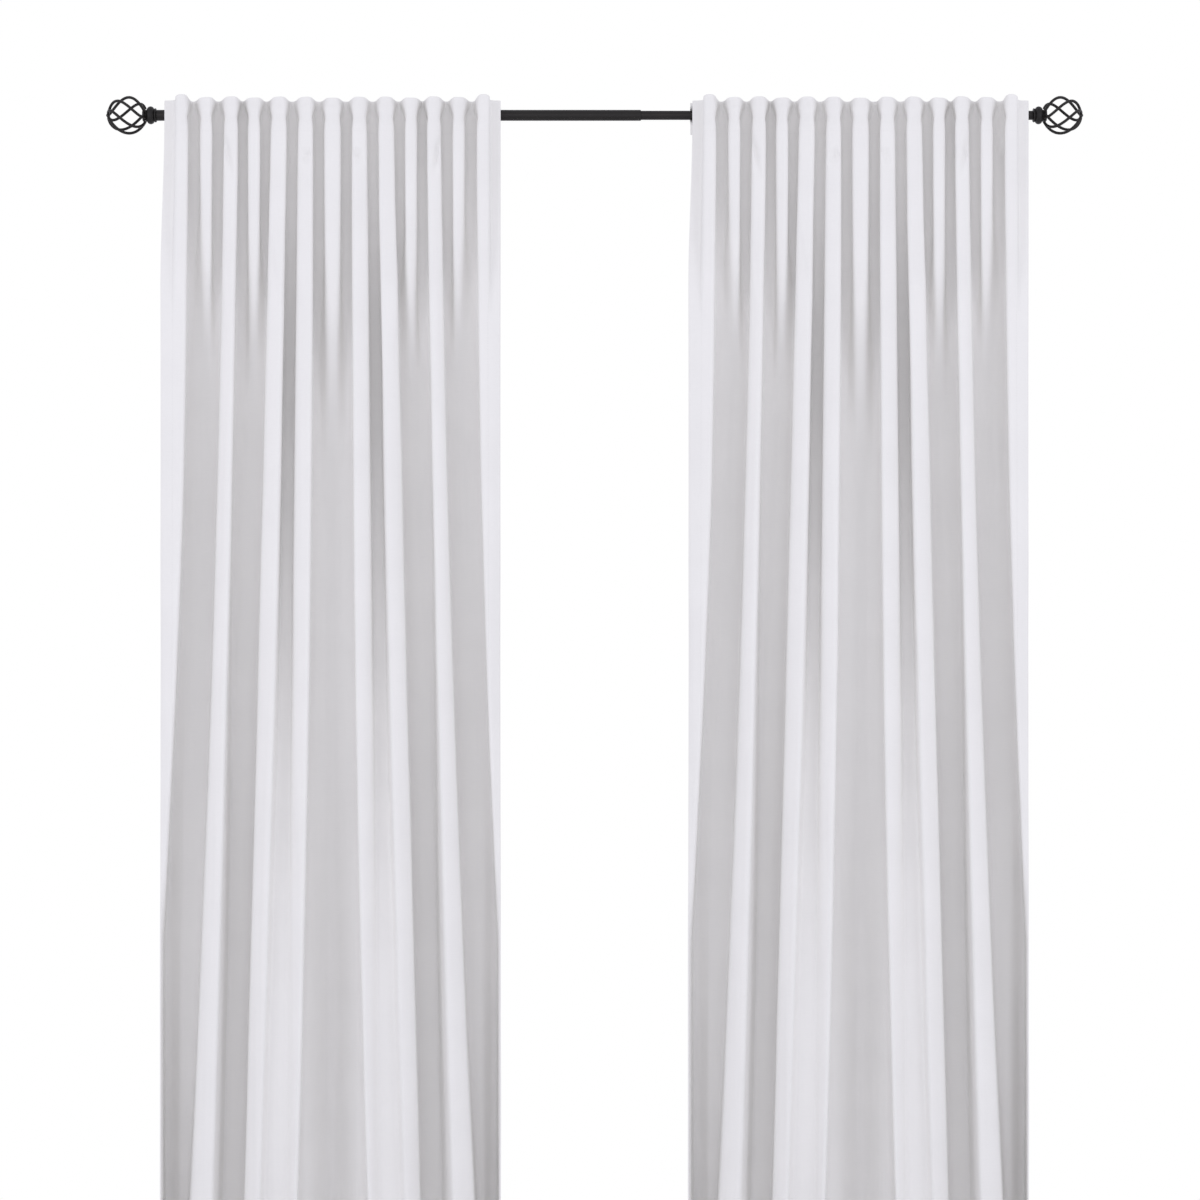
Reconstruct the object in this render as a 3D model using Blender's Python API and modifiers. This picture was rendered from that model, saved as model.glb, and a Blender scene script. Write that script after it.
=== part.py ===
"""A pair of gathered curtain panels with hidden back tabs, on a telescoping rod with wire ball finials.

Metres, +X to the right as seen from the room, +Y into the wall, +Z up. The origin is the centre of
the left bracket's wall plate, on its back face, where it meets the wall.
"""

import math

import bmesh
import bpy
from mathutils import Matrix, Vector

# Overall sizes
BRACKET_SPACING = 1.449
STANDOFF = 0.090  # wall to rod axis
PANEL_DROP = 2.134  # header top to hem
HEADER = 0.022  # header top above the rod axis
ROD_OVERHANG = 0.0463  # bracket centre to tube end

# Rod
OUTER_RADIUS = 0.0095
TUBE_WALL = 0.0010
OUTER_TUBE_LENGTH = 0.852
TUBE_OVERLAP = 0.1804  # length of the inner tube inside the outer one
TUBE_SIDES = 24

# Panel
FOLD_COUNT = 13
FOLD_PITCH = 0.0438
RIDGE_WIDTH = 0.024
RIDGE_CORNER = 0.0066  # slant between a ridge's front and its flank
SIDE_HEM = 0.0197
FOLD_DEPTH_TOP = 0.045
FOLD_DEPTH_HEM = 0.086
CLOTH = 0.0012
TAB_WIDTH = 0.018
TAB_THICKNESS = 0.0012
TAB_SIDES = 12

# Bracket
PLATE_WIDTH = 0.026
PLATE_HEIGHT = 0.076
PLATE_THICKNESS = 0.0035
PLATE_CORNER = 0.002
ARM_RADIUS = 0.0050
SPIGOT_RADIUS = 0.0035
CRADLE_WIDTH = 0.014
CRADLE_WALL = 0.0035
CRADLE_LIP = 0.0030  # lip top above the rod axis
SCREW_SPACING = 0.052
SCREW_SHANK = 0.0020
SCREW_HEAD_RADIUS = 0.0040
SCREW_HEAD_HEIGHT = 0.0022
LOCK_SHANK = 0.0020
LOCK_HEAD_RADIUS = 0.0052
LOCK_HEAD_HEIGHT = 0.0070
LOCK_DROP = 0.0040  # cradle underside to the head

# Finial
KNOB_RADIUS = 0.0156
KNOB_LENGTH = 0.0132
BEAD_RADIUS = 0.0122  # small ring on the knob's inner side
BEAD_LENGTH = 0.0034
NECK_RADIUS = 0.0098
NECK_LENGTH = 0.0108
NECK_CHAMFER = 0.0020
HUB_RADIUS = 0.0040
CAGE_RADIUS = 0.0341
CAGE_REACH = 0.0344  # half length along the wires' middles
CAGE_CENTRE = 0.0514  # tube end to the cage's widest ring
WIRE_COUNT = 6
WIRE_RADIUS = 0.0020
WIRE_SIDES = 8
WIRE_POINTS = 15
WIRE_TWIST = math.radians(130)
WIRE_START = math.radians(24)  # turn of the first wire halfway along it
TIP_DOME = 0.0010
STUD_RADIUS = 0.0030
STUD_LENGTH = 0.0120
PLUG_LENGTH = 0.0180

# Clearances
TOUCH = 0.0003  # between touching pieces
TAB_CLEARANCE = 0.0012  # tab round the rod
TUBE_PLAY = 0.0005  # inner tube in the outer one
BORE_CLEARANCE = 0.0003
NECK_WIRE_END = 0.0020  # middle of a wire's slanted end to the neck that it is brazed to
TIP_WIRE_END = 0.0008  # middle of a wire's slanted end to the tip bead

# Facets
ROUND_SIDES = 20
SMALL_SIDES = 16
DOME_STEPS = 5
SHARP_ANGLE = math.radians(35)

ROD_Y = -STANDOFF
ROD_Z = 0.0
LEFT_X = 0.0
RIGHT_X = BRACKET_SPACING
LEFT_END = LEFT_X - ROD_OVERHANG
RIGHT_END = RIGHT_X + ROD_OVERHANG
INNER_RADIUS = OUTER_RADIUS - TUBE_WALL - TUBE_PLAY
CRADLE_INSIDE = OUTER_RADIUS + TOUCH
CRADLE_OUTSIDE = CRADLE_INSIDE + CRADLE_WALL
VALLEY_FRONT = OUTER_RADIUS + TAB_CLEARANCE + TAB_THICKNESS / 2  # cloth's middle in front of the axis

WHITE_CLOTH = ("white_cloth", (0.86, 0.85, 0.83), 0.85, 0.0)
DARK_BRONZE = ("dark_bronze", (0.045, 0.040, 0.037), 0.42, 0.8)
STEEL = ("zinc_steel", (0.55, 0.55, 0.56), 0.35, 1.0)


def clear_scene():
    for obj in list(bpy.data.objects):
        bpy.data.objects.remove(obj, do_unlink=True)


def new_collection(name):
    collection = bpy.data.collections.new(name)
    bpy.context.scene.collection.children.link(collection)
    return collection


def new_material(name, colour, roughness, metallic):
    material = bpy.data.materials.get(name)
    if material:
        return material
    material = bpy.data.materials.new(name)
    material.use_nodes = True
    shader = material.node_tree.nodes["Principled BSDF"]
    shader.inputs["Base Color"].default_value = (*colour, 1.0)
    shader.inputs["Roughness"].default_value = roughness
    shader.inputs["Metallic"].default_value = metallic
    return material


def place(name, data, finish, location=(0, 0, 0), parent=None):
    """Adds an object for a mesh or curve at a place given from its parent."""
    obj = bpy.data.objects.new(name, data)
    PARTS.objects.link(obj)
    obj.location = location
    obj.parent = parent
    if not data.materials:
        data.materials.append(new_material(name + "_" + finish[0], *finish[1:]))
    return obj


def pivot(name, location):
    empty = bpy.data.objects.new(name, None)
    PARTS.objects.link(empty)
    empty.location = location
    return empty


def as_cutter(obj):
    PARTS.objects.unlink(obj)
    CUTTERS.objects.link(obj)
    obj.hide_render = True
    obj.display_type = "WIRE"
    return obj


def combine(obj, other, operation):
    modifier = obj.modifiers.new(operation.lower(), "BOOLEAN")
    modifier.object = as_cutter(other)
    modifier.operation = operation


def smooth(obj):
    obj.data.shade_smooth()
    obj.data.set_sharp_from_angle(angle=SHARP_ANGLE)
    return obj


def solid_mesh(obj):
    """The object's mesh with its modifiers and its place applied; the object itself is removed."""
    bpy.context.view_layer.update()
    graph = bpy.context.evaluated_depsgraph_get()
    mesh = bpy.data.meshes.new_from_object(obj.evaluated_get(graph))
    mesh.transform(obj.matrix_world)
    bm = bmesh.new()
    bm.from_mesh(mesh)
    bmesh.ops.remove_doubles(bm, verts=bm.verts, dist=1e-6)
    bmesh.ops.recalc_face_normals(bm, faces=bm.faces)
    bm.to_mesh(mesh)
    bm.free()
    bpy.data.objects.remove(obj, do_unlink=True)
    return mesh


def cylinder(name, radius, start, end, finish, sides=ROUND_SIDES):
    """A solid cylinder between two points."""
    start = Vector(start)
    along = Vector(end) - start
    mesh = bpy.data.meshes.new(name)
    bm = bmesh.new()
    bmesh.ops.create_cone(
        bm, cap_ends=True, segments=sides, radius1=radius, radius2=radius, depth=along.length
    )
    turn = Vector((0, 0, 1)).rotation_difference(along).to_matrix().to_4x4()
    bmesh.ops.transform(bm, matrix=Matrix.Translation(start + along / 2) @ turn, verts=bm.verts)
    bm.to_mesh(mesh)
    bm.free()
    return smooth(place(name, mesh, finish))


def turned(name, profile, finish, sides=ROUND_SIDES):
    """A turned piece from (radius, distance along +Z) points that run down its outer side."""
    mesh = bpy.data.meshes.new(name)
    edges = [(i, i + 1) for i in range(len(profile) - 1)]
    mesh.from_pydata([(radius, 0, along) for radius, along in profile], edges, [])
    obj = place(name, mesh, finish)
    screw = obj.modifiers.new("turn", "SCREW")
    screw.steps = sides
    screw.render_steps = sides
    screw.use_merge_vertices = True
    screw.merge_threshold = 1e-5
    return obj


def arc(centre, radius, start, end, count):
    """Points on an arc, with its ends, angles in degrees."""
    angles = [math.radians(start + (end - start) * i / count) for i in range(count + 1)]
    return [(centre[0] + radius * math.cos(a), centre[1] + radius * math.sin(a)) for a in angles]


def flat_piece(name, outline, thickness, finish):
    """A flat piece cut to a closed outline in its own XY plane, centred on it in thickness."""
    curve = bpy.data.curves.new(name, "CURVE")
    curve.dimensions = "2D"
    curve.fill_mode = "BOTH"
    curve.extrude = thickness / 2
    spline = curve.splines.new("POLY")
    spline.points.add(len(outline) - 1)
    for point, (x, y) in zip(spline.points, outline):
        point.co = (x, y, 0, 1)
    spline.use_cyclic_u = True
    return place(name, curve, finish)


def tube(name, outer, x_start, x_end):
    """An open-ended tube of the rod along X."""
    inner = outer - TUBE_WALL
    obj = turned(
        name,
        [(inner, 0), (inner, x_end - x_start), (outer, x_end - x_start), (outer, 0), (inner, 0)],
        DARK_BRONZE,
        TUBE_SIDES,
    )
    obj.location = (x_start, ROD_Y, ROD_Z)
    obj.rotation_euler = (0, math.radians(90), 0)
    return smooth(obj)


def side_frame(obj, x, side):
    """Turns a piece modelled along +Z so that it points away from the middle of the rod."""
    obj.location = (x, ROD_Y, ROD_Z)
    obj.rotation_euler = (0, math.radians(90 * side), 0)
    return smooth(obj)


def end_plug(name, tube_radius, x, side):
    """The plug pressed into a tube's end, with the threaded stud that the finial turns on."""
    body = tube_radius - TUBE_WALL - TOUCH
    profile = [
        (0, STUD_LENGTH),
        (STUD_RADIUS, STUD_LENGTH),
        (STUD_RADIUS, 0),
        (body, 0),
        (body, -PLUG_LENGTH),
        (0, -PLUG_LENGTH),
    ]
    return side_frame(turned(name, profile, STEEL), x, side)


def finial_collar(name, x, side):
    """Bead, ring knob and neck, turned in one piece, with the bore for the stud."""
    round_bead = BEAD_LENGTH / 2
    bead = arc((BEAD_RADIUS - round_bead, round_bead), round_bead, 60, -90, 5)
    swell = (KNOB_LENGTH - BEAD_LENGTH) / 2
    knob = arc((KNOB_RADIUS - swell, BEAD_LENGTH + swell), swell, 80, -80, 9)
    neck_end = KNOB_LENGTH + NECK_LENGTH
    profile = [
        (0, neck_end),
        (NECK_RADIUS - NECK_CHAMFER, neck_end),
        (NECK_RADIUS, neck_end - NECK_CHAMFER),
        (NECK_RADIUS, KNOB_LENGTH),
        *knob,
        *bead,
        (STUD_RADIUS + BORE_CLEARANCE, 0),
        (STUD_RADIUS + BORE_CLEARANCE, STUD_LENGTH + TOUCH),
        (0, STUD_LENGTH + TOUCH),
    ]
    return side_frame(turned(name, profile, DARK_BRONZE), x, side)


def cage_wire(name, pivot_obj, side, number):
    """One strand: it swells from the neck to the widest ring and back to the tip while it twists."""
    curve = bpy.data.curves.new(name, "CURVE")
    curve.dimensions = "3D"
    curve.bevel_depth = WIRE_RADIUS
    curve.bevel_resolution = (WIRE_SIDES - 4) // 2
    curve.use_fill_caps = True
    spline = curve.splines.new("POLY")
    spline.points.add(WIRE_POINTS - 1)
    widest = CAGE_RADIUS - WIRE_RADIUS
    at_neck = math.asin((NECK_RADIUS + NECK_WIRE_END) / widest)
    at_tip = math.pi - math.asin((HUB_RADIUS + TIP_WIRE_END) / widest)
    for i, point in enumerate(spline.points):
        part = i / (WIRE_POINTS - 1)
        polar = at_neck + (at_tip - at_neck) * part
        turn = WIRE_START + 2 * math.pi * number / WIRE_COUNT + WIRE_TWIST * (0.5 - part)
        radius = widest * math.sin(polar)
        along = CAGE_CENTRE - CAGE_REACH * math.cos(polar)
        point.co = (side * along, radius * math.cos(turn), radius * math.sin(turn), 1)
    return place(name, curve, DARK_BRONZE, parent=pivot_obj)


def tip_bead(name, x, side):
    """The domed bead inside the far end of the cage, on which the strands end."""
    far = CAGE_CENTRE + CAGE_REACH + WIRE_RADIUS + TIP_DOME
    inner = far - 2 * (WIRE_RADIUS + TIP_DOME)
    dome = arc((0, far - HUB_RADIUS), HUB_RADIUS, 90, 0, DOME_STEPS)
    profile = [*dome, (HUB_RADIUS, inner), (0, inner)]
    return side_frame(turned(name, profile, DARK_BRONZE, SMALL_SIDES), x, side)


def finial(prefix, x, side):
    axis = pivot(prefix + "_finial_axis", (x, ROD_Y, ROD_Z))
    finial_collar(prefix + "_finial_collar", x, side)
    for number in range(WIRE_COUNT):
        cage_wire(f"{prefix}_finial_wire_{number + 1}", axis, side, number)
    tip_bead(prefix + "_finial_tip", x, side)


def wall_plate(name, x):
    """A plate with two screw holes and the hole for the arm's spigot; its back lies on the wall."""
    mesh = bpy.data.meshes.new(name)
    bm = bmesh.new()
    bmesh.ops.create_cube(bm, size=1)
    bmesh.ops.scale(bm, vec=(PLATE_WIDTH, PLATE_THICKNESS, PLATE_HEIGHT), verts=bm.verts)
    upright = [e for e in bm.edges if abs(e.verts[0].co.y - e.verts[1].co.y) > PLATE_THICKNESS / 2]
    bmesh.ops.bevel(bm, geom=upright, offset=PLATE_CORNER, segments=3, affect="EDGES", profile=0.5)
    bm.to_mesh(mesh)
    bm.free()
    obj = place(name, mesh, DARK_BRONZE, (x, -PLATE_THICKNESS / 2, 0))
    holes = [(arm_height(), SPIGOT_RADIUS)]
    holes += [(height, SCREW_SHANK) for height in screw_heights()]
    for height, radius in holes:
        cutter = cylinder(
            name + "_hole",
            radius + BORE_CLEARANCE,
            (x, -2 * PLATE_THICKNESS, height),
            (x, PLATE_THICKNESS, height),
            DARK_BRONZE,
        )
        combine(obj, cutter, "DIFFERENCE")
    return obj


def arm_height():
    """The arm runs into the cradle's wall behind the rod, level with the rod's lower half."""
    return ROD_Z - OUTER_RADIUS / 2


def screw_heights():
    return (SCREW_SPACING / 2, -SCREW_SPACING / 2)


def bracket_arm(name, x):
    """A round bar with a spigot for the wall plate, and the open cradle that the rod lies in."""
    lip = ROD_Z + CRADLE_LIP
    inside = arc((ROD_Y, ROD_Z), CRADLE_INSIDE, 180, 360, 16)
    outside = arc((ROD_Y, ROD_Z), CRADLE_OUTSIDE, 360, 180, 16)
    outline = [
        (ROD_Y - CRADLE_INSIDE, lip),
        *inside,
        (ROD_Y + CRADLE_INSIDE, lip),
        (ROD_Y + CRADLE_OUTSIDE, lip),
        *outside,
        (ROD_Y - CRADLE_OUTSIDE, lip),
    ]
    cradle = flat_piece(name + "_cradle", outline, CRADLE_WIDTH, DARK_BRONZE)
    cradle.rotation_euler = (math.radians(90), 0, math.radians(90))
    cradle.location = (x, 0, 0)
    obj = place(name, solid_mesh(cradle), DARK_BRONZE)
    height = arm_height()
    bar_start = ROD_Y + (CRADLE_INSIDE + CRADLE_OUTSIDE) / 2
    bar_end = -PLATE_THICKNESS - TOUCH
    bar = cylinder(
        name + "_bar",
        ARM_RADIUS,
        (x, bar_start, height),
        (x, bar_end, height),
        DARK_BRONZE,
    )
    spigot = cylinder(
        name + "_spigot",
        SPIGOT_RADIUS,
        (x, bar_end - ARM_RADIUS, height),
        (x, -2 * TOUCH, height),
        DARK_BRONZE,
    )
    hole = cylinder(
        name + "_lock_hole",
        LOCK_SHANK + BORE_CLEARANCE,
        (x, ROD_Y, ROD_Z - CRADLE_OUTSIDE - CRADLE_WALL),
        (x, ROD_Y, ROD_Z - OUTER_RADIUS / 2),
        DARK_BRONZE,
    )
    combine(obj, bar, "UNION")
    combine(obj, spigot, "UNION")
    combine(obj, hole, "DIFFERENCE")
    return obj


def wall_screw(name, x, height):
    """A pan-head screw, whose thread into the wall is left out beyond the plate's back face."""
    head = PLATE_THICKNESS + TOUCH
    tip = 2 * TOUCH
    flatten = SCREW_HEAD_HEIGHT / SCREW_HEAD_RADIUS
    dome = [
        (radius, head + along * flatten)
        for radius, along in arc((0, 0), SCREW_HEAD_RADIUS, 90, 0, DOME_STEPS)
    ]
    profile = [*dome, (SCREW_SHANK, head), (SCREW_SHANK, tip), (0, tip)]
    obj = turned(name, profile, STEEL, SMALL_SIDES)
    obj.location = (x, 0, height)
    obj.rotation_euler = (math.radians(90), 0, 0)
    return smooth(obj)


def lock_screw(name, x, rod_radius):
    """A thumbscrew under the cradle; its tip comes up under the rod."""
    top = -rod_radius - TOUCH
    head = -CRADLE_OUTSIDE - LOCK_DROP
    profile = [
        (0, top),
        (LOCK_SHANK, top),
        (LOCK_SHANK, head),
        (LOCK_HEAD_RADIUS, head),
        (LOCK_HEAD_RADIUS, head - LOCK_HEAD_HEIGHT),
        (0, head - LOCK_HEAD_HEIGHT),
    ]
    obj = turned(name, profile, DARK_BRONZE, SMALL_SIDES)
    obj.location = (x, ROD_Y, ROD_Z)
    return smooth(obj)


def hang_levels():
    """(height, fold depth, middle of the folds from the rod axis, + to the wall) down the panel.

    At the header the folds stand in front of the rod. Lower down they hang back under it, so that
    the panel's weight is under the rod. The shares are of the drop, the header's lead in front of
    the rod and the depth that the folds gain.
    """
    lead = VALLEY_FRONT + FOLD_DEPTH_TOP / 2
    shares = (
        (0.00, 1.00, 0.00),
        (0.05, 0.90, 0.10),
        (0.14, 0.42, 0.35),
        (0.33, 0.00, 0.62),
        (1.00, -0.30, 1.00),
    )
    levels = [(HEADER, FOLD_DEPTH_TOP, -lead)]
    drop = PANEL_DROP - HEADER
    for down, forward, deepen in shares:
        depth = FOLD_DEPTH_TOP + (FOLD_DEPTH_HEM - FOLD_DEPTH_TOP) * deepen
        levels.append((-drop * down, depth, -lead * forward))
    return levels


def cloth_strip(name, section):
    """An upright strip of cloth: section(depth, middle) gives its plan outline at each level."""
    rows = [
        [(x, y, height) for x, y in section(depth, middle)] for height, depth, middle in hang_levels()
    ]
    across = len(rows[0])
    faces = [
        (r * across + c, r * across + c + 1, (r + 1) * across + c + 1, (r + 1) * across + c)
        for r in range(len(rows) - 1)
        for c in range(across - 1)
    ]
    mesh = bpy.data.meshes.new(name)
    mesh.from_pydata([point for row in rows for point in row], [], faces)
    obj = place(name, mesh, WHITE_CLOTH)
    shell = obj.modifiers.new("cloth", "SOLIDIFY")
    shell.thickness = CLOTH
    shell.offset = 0
    shell.use_even_offset = True
    return obj


def tab_loop(name, x):
    """The tab behind the cloth, closed round the rod."""
    inside = OUTER_RADIUS + TAB_CLEARANCE
    outside = inside + TAB_THICKNESS
    half = TAB_WIDTH / 2
    profile = [(inside, -half), (inside, half), (outside, half), (outside, -half), (inside, -half)]
    obj = turned(name, profile, WHITE_CLOTH, TAB_SIDES)
    obj.rotation_euler = (0, math.radians(90), 0)
    obj.location = (x, 0, 0)
    return obj


def strip_with_tab(name, section, tab_x):
    """A strip's finished mesh with its tab, about the rod axis."""
    strip = cloth_strip(name, section)
    loop = tab_loop(name + "_tab", tab_x)
    joined = strip.modifiers.new("tab", "BOOLEAN")
    joined.operation = "UNION"
    joined.object = loop
    mesh = solid_mesh(strip)
    bpy.data.objects.remove(loop, do_unlink=True)
    mesh.materials.clear()
    return mesh


def fold_section(side):
    """One fold, its ridge at x = 0, with the valley on the side towards the middle of the window."""

    def section(depth, middle):
        front = middle - depth / 2
        back = middle + depth / 2
        half = RIDGE_WIDTH / 2
        flat = half - RIDGE_CORNER
        return [
            (side * half, back - CLOTH - TOUCH),
            (side * half, front + RIDGE_CORNER),
            (side * flat, front),
            (-side * flat, front),
            (-side * half, front + RIDGE_CORNER),
            (-side * half, back),
            (-side * (FOLD_PITCH - half), back),
        ]

    return section


def edge_section(side):
    """The outer side hem, flat against the rod, up to the first fold's flank."""

    def section(depth, middle):
        back = middle + depth / 2
        ridge = RIDGE_WIDTH / 2
        return [(side * (ridge + SIDE_HEM), back), (side * ridge, back)]

    return section


def leading_section(side):
    """The last fold, whose valley is the inner side hem."""

    def section(depth, middle):
        points = fold_section(side)(depth, middle)
        points[-1] = (-side * (RIDGE_WIDTH / 2 + SIDE_HEM), points[-1][1])
        return points

    return section


def panel(prefix, first_x, side):
    """A panel as its outer edge and its folds; the first fold hides the bracket."""
    hem_tab = side * (RIDGE_WIDTH + SIDE_HEM) / 2
    edge_mesh = strip_with_tab(prefix + "_edge_shape", edge_section(side), hem_tab)
    fold_mesh = strip_with_tab(prefix + "_fold_shape", fold_section(side), -side * FOLD_PITCH / 2)
    last_mesh = strip_with_tab(prefix + "_leading_shape", leading_section(side), -hem_tab)
    place(prefix + "_panel_edge", edge_mesh, WHITE_CLOTH, (first_x, ROD_Y, ROD_Z))
    for number in range(FOLD_COUNT):
        mesh = last_mesh if number == FOLD_COUNT - 1 else fold_mesh
        x = first_x - side * number * FOLD_PITCH
        place(f"{prefix}_panel_fold_{number + 1:02d}", mesh, WHITE_CLOTH, (x, ROD_Y, ROD_Z))


def bracket(prefix, x, rod_radius):
    wall_plate(prefix + "_wall_plate", x)
    bracket_arm(prefix + "_bracket_arm", x)
    upper, lower = screw_heights()
    wall_screw(prefix + "_upper_screw", x, upper)
    wall_screw(prefix + "_lower_screw", x, lower)
    lock_screw(prefix + "_lock_screw", x, rod_radius)


def rod():
    tube("outer_tube", OUTER_RADIUS, LEFT_END, LEFT_END + OUTER_TUBE_LENGTH)
    tube("inner_tube", INNER_RADIUS, LEFT_END + OUTER_TUBE_LENGTH - TUBE_OVERLAP, RIGHT_END)
    end_plug("left_end_plug", OUTER_RADIUS, LEFT_END, -1)
    end_plug("right_end_plug", INNER_RADIUS, RIGHT_END, 1)


clear_scene()
PARTS = new_collection("window_curtains_on_a_rod")
CUTTERS = new_collection("cutters")
rod()
for prefix, side, x, rod_radius in (
    ("left", -1, LEFT_X, OUTER_RADIUS),
    ("right", 1, RIGHT_X, INNER_RADIUS),
):
    bracket(prefix, x, rod_radius)
    finial(prefix, x + side * (ROD_OVERHANG + TOUCH), side)
    panel(prefix, x, side)
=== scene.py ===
"""Window curtains on a rod: a pair of gathered back-tab panels on a telescoping rod.

Run as a script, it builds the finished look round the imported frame, piece by piece, with one
operator for each kind of piece. Everything is in metres: +X to the right as seen from the room,
+Y into the wall, +Z up.
"""

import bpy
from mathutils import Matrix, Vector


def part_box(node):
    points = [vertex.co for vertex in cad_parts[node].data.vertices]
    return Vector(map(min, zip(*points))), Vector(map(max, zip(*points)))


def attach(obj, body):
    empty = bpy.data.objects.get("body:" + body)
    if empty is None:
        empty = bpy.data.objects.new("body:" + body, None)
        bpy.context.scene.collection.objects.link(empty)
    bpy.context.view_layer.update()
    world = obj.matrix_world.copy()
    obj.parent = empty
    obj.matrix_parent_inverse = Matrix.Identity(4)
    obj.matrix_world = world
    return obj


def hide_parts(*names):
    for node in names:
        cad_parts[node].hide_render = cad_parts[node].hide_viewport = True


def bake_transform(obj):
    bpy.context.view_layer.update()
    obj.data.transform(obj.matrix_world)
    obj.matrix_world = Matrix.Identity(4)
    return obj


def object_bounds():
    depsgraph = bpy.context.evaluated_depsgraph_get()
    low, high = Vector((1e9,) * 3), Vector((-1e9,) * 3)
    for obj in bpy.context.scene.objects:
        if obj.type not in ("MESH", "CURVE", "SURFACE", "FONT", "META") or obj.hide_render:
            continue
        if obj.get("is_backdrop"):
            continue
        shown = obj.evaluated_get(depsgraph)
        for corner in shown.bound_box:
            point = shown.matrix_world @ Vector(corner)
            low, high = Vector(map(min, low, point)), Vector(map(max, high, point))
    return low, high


bl_info = {
    "name": "Window Curtains on a Rod",
    "version": (1, 0, 0),
    "blender": (4, 5, 0),
    "location": "3D View > Sidebar > Curtains",
    "description": "Builds gathered curtain panels on a rod with wire ball finials",
    "category": "Object",
}

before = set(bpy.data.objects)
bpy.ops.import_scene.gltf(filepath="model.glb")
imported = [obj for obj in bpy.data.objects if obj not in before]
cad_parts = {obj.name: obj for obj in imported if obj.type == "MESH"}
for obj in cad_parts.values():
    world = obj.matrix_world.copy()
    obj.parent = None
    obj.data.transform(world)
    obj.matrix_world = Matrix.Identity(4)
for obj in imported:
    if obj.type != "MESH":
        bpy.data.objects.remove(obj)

import math
from collections import namedtuple

import bmesh
import bpy
import numpy as np
from bpy.props import FloatProperty, FloatVectorProperty, IntProperty, PointerProperty
from mathutils import Matrix, Vector

CAD_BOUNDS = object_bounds()
SIDES = {"left": -1, "right": 1}
WELD = 1e-6  # points closer than this are one
FOLD_COUNT = sum(name.startswith("left_panel_fold_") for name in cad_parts)


def box_middle(node):
    low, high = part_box(node)
    return (low + high) / 2


def box_size(node):
    low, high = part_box(node)
    return high - low


ROD_Y = box_middle("outer_tube").y
ROD_Z = box_middle("outer_tube").z
OUTER_RADIUS = box_size("outer_tube").z / 2
INNER_RADIUS = box_size("inner_tube").z / 2
BRACKET_X = {side: box_middle(side + "_wall_plate").x for side in SIDES}
ROD_MIDDLE = sum(BRACKET_X.values()) / 2
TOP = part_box("left_panel_fold_01")[1].z
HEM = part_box("left_panel_fold_01")[0].z


# ---------------------------------------------------------------- sizes and colours


def length(name, description, default):
    return FloatProperty(
        name=name, description=description, default=default, unit="LENGTH", precision=4
    )


def angle(name, description, degrees):
    return FloatProperty(
        name=name, description=description, default=math.radians(degrees), subtype="ANGLE"
    )


def power(name, description, default):
    return FloatProperty(name=name, description=description, default=default, unit="POWER")


def colour(name, description, default):
    return FloatVectorProperty(
        name=name, description=description, default=default, subtype="COLOR", min=0.0, max=1.0
    )


class CurtainPanelSizes(bpy.types.PropertyGroup):
    """Sizes and colours of the cloth panels"""

    flat_width: length("Finished width", "Width of a panel laid flat, hems folded in", 1.321)
    side_hem: length("Side hem", "Cloth folded back down each side", 0.025)
    bottom_hem: length("Bottom hem", "Cloth folded up behind the hem", 0.090)
    facing: length("Facing", "Cloth folded down behind the header", 0.060)
    thickness: length("Cloth thickness", "Thickness of one layer", 0.0009)
    layer_gap: length("Layer gap", "From one folded layer to the next", 0.0013)
    thread_step: length("Column spacing", "Spacing of the mesh across the cloth", 0.0030)
    corner: length("Fold corner", "How softly the cloth turns at a fold", 0.0030)
    wrinkle: length("Wrinkles", "Height of the fine wrinkles", 0.0007)
    tab_width: length("Tab width", "Width of each back tab", 0.018)
    tab_thickness: length("Tab thickness", "Thickness of a back tab", 0.0010)
    stitch: length("Stitch", "Length of one stitch", 0.0034)
    stitch_pitch: length("Stitch pitch", "From one stitch to the next", 0.0046)
    thread: length("Thread", "Radius of the sewing thread", 0.00022)
    cloth_colour: colour("Cloth", "Colour of the cloth", (0.825, 0.812, 0.790))
    thread_colour: colour("Sewing thread", "Colour of the stitches", (0.83, 0.82, 0.80))


class CurtainRodSizes(bpy.types.PropertyGroup):
    """Sizes and colours of the rod, its finials and its brackets"""

    tube_wall: length("Tube wall", "Wall of both rod tubes", 0.0010)
    knob_radius: length("Knob radius", "Radius of the finial's ring knob", 0.0156)
    neck_radius: length("Neck radius", "Radius of the finial's neck", 0.0096)
    cup_radius: length("Cup radius", "Radius of the cup that the wires leave", 0.0126)
    wire_radius: length("Wire radius", "Radius of the cage wires", 0.0025)
    wire_count: IntProperty(name="Wires", description="Wires in each cage", default=6, min=3, max=8)
    wire_twist: angle("Wire twist", "Turn of each wire from the neck to the tip", 130)
    wire_start: angle("Wire start", "Turn of the first wire halfway along it", 24)
    bronze: colour("Bronze", "Colour of the painted metal", (0.0135, 0.0122, 0.0115))
    zinc: colour("Zinc", "Colour of the plated steel", (0.55, 0.55, 0.56))


class CurtainStageSettings(bpy.types.PropertyGroup):
    """Floor, light and camera"""

    camera_distance: length("Camera distance", "From the rod to the camera", 5.0)
    view_width: length("View width", "Width of the view at the rod", 2.112)
    view_height: length("View height", "Height of the view's middle below the rod", 0.853)
    view_shift: length("View shift", "The view's middle to the right of the rod's middle", 0.0094)
    front_light: power("Front light", "Power of the front and the back softbox", 52.0)
    side_light: power("Side lights", "Power of each side softbox", 48.0)
    room_light: FloatProperty(name="Room light", description="Strength of the light all round", default=0.77)
    floor_colour: colour("Floor", "Colour of the floor", (0.74, 0.74, 0.74))


# ---------------------------------------------------------------- small tools


def smoothstep(x):
    t = np.clip(x, 0.0, 1.0)
    return t * t * (3.0 - 2.0 * t)


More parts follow.
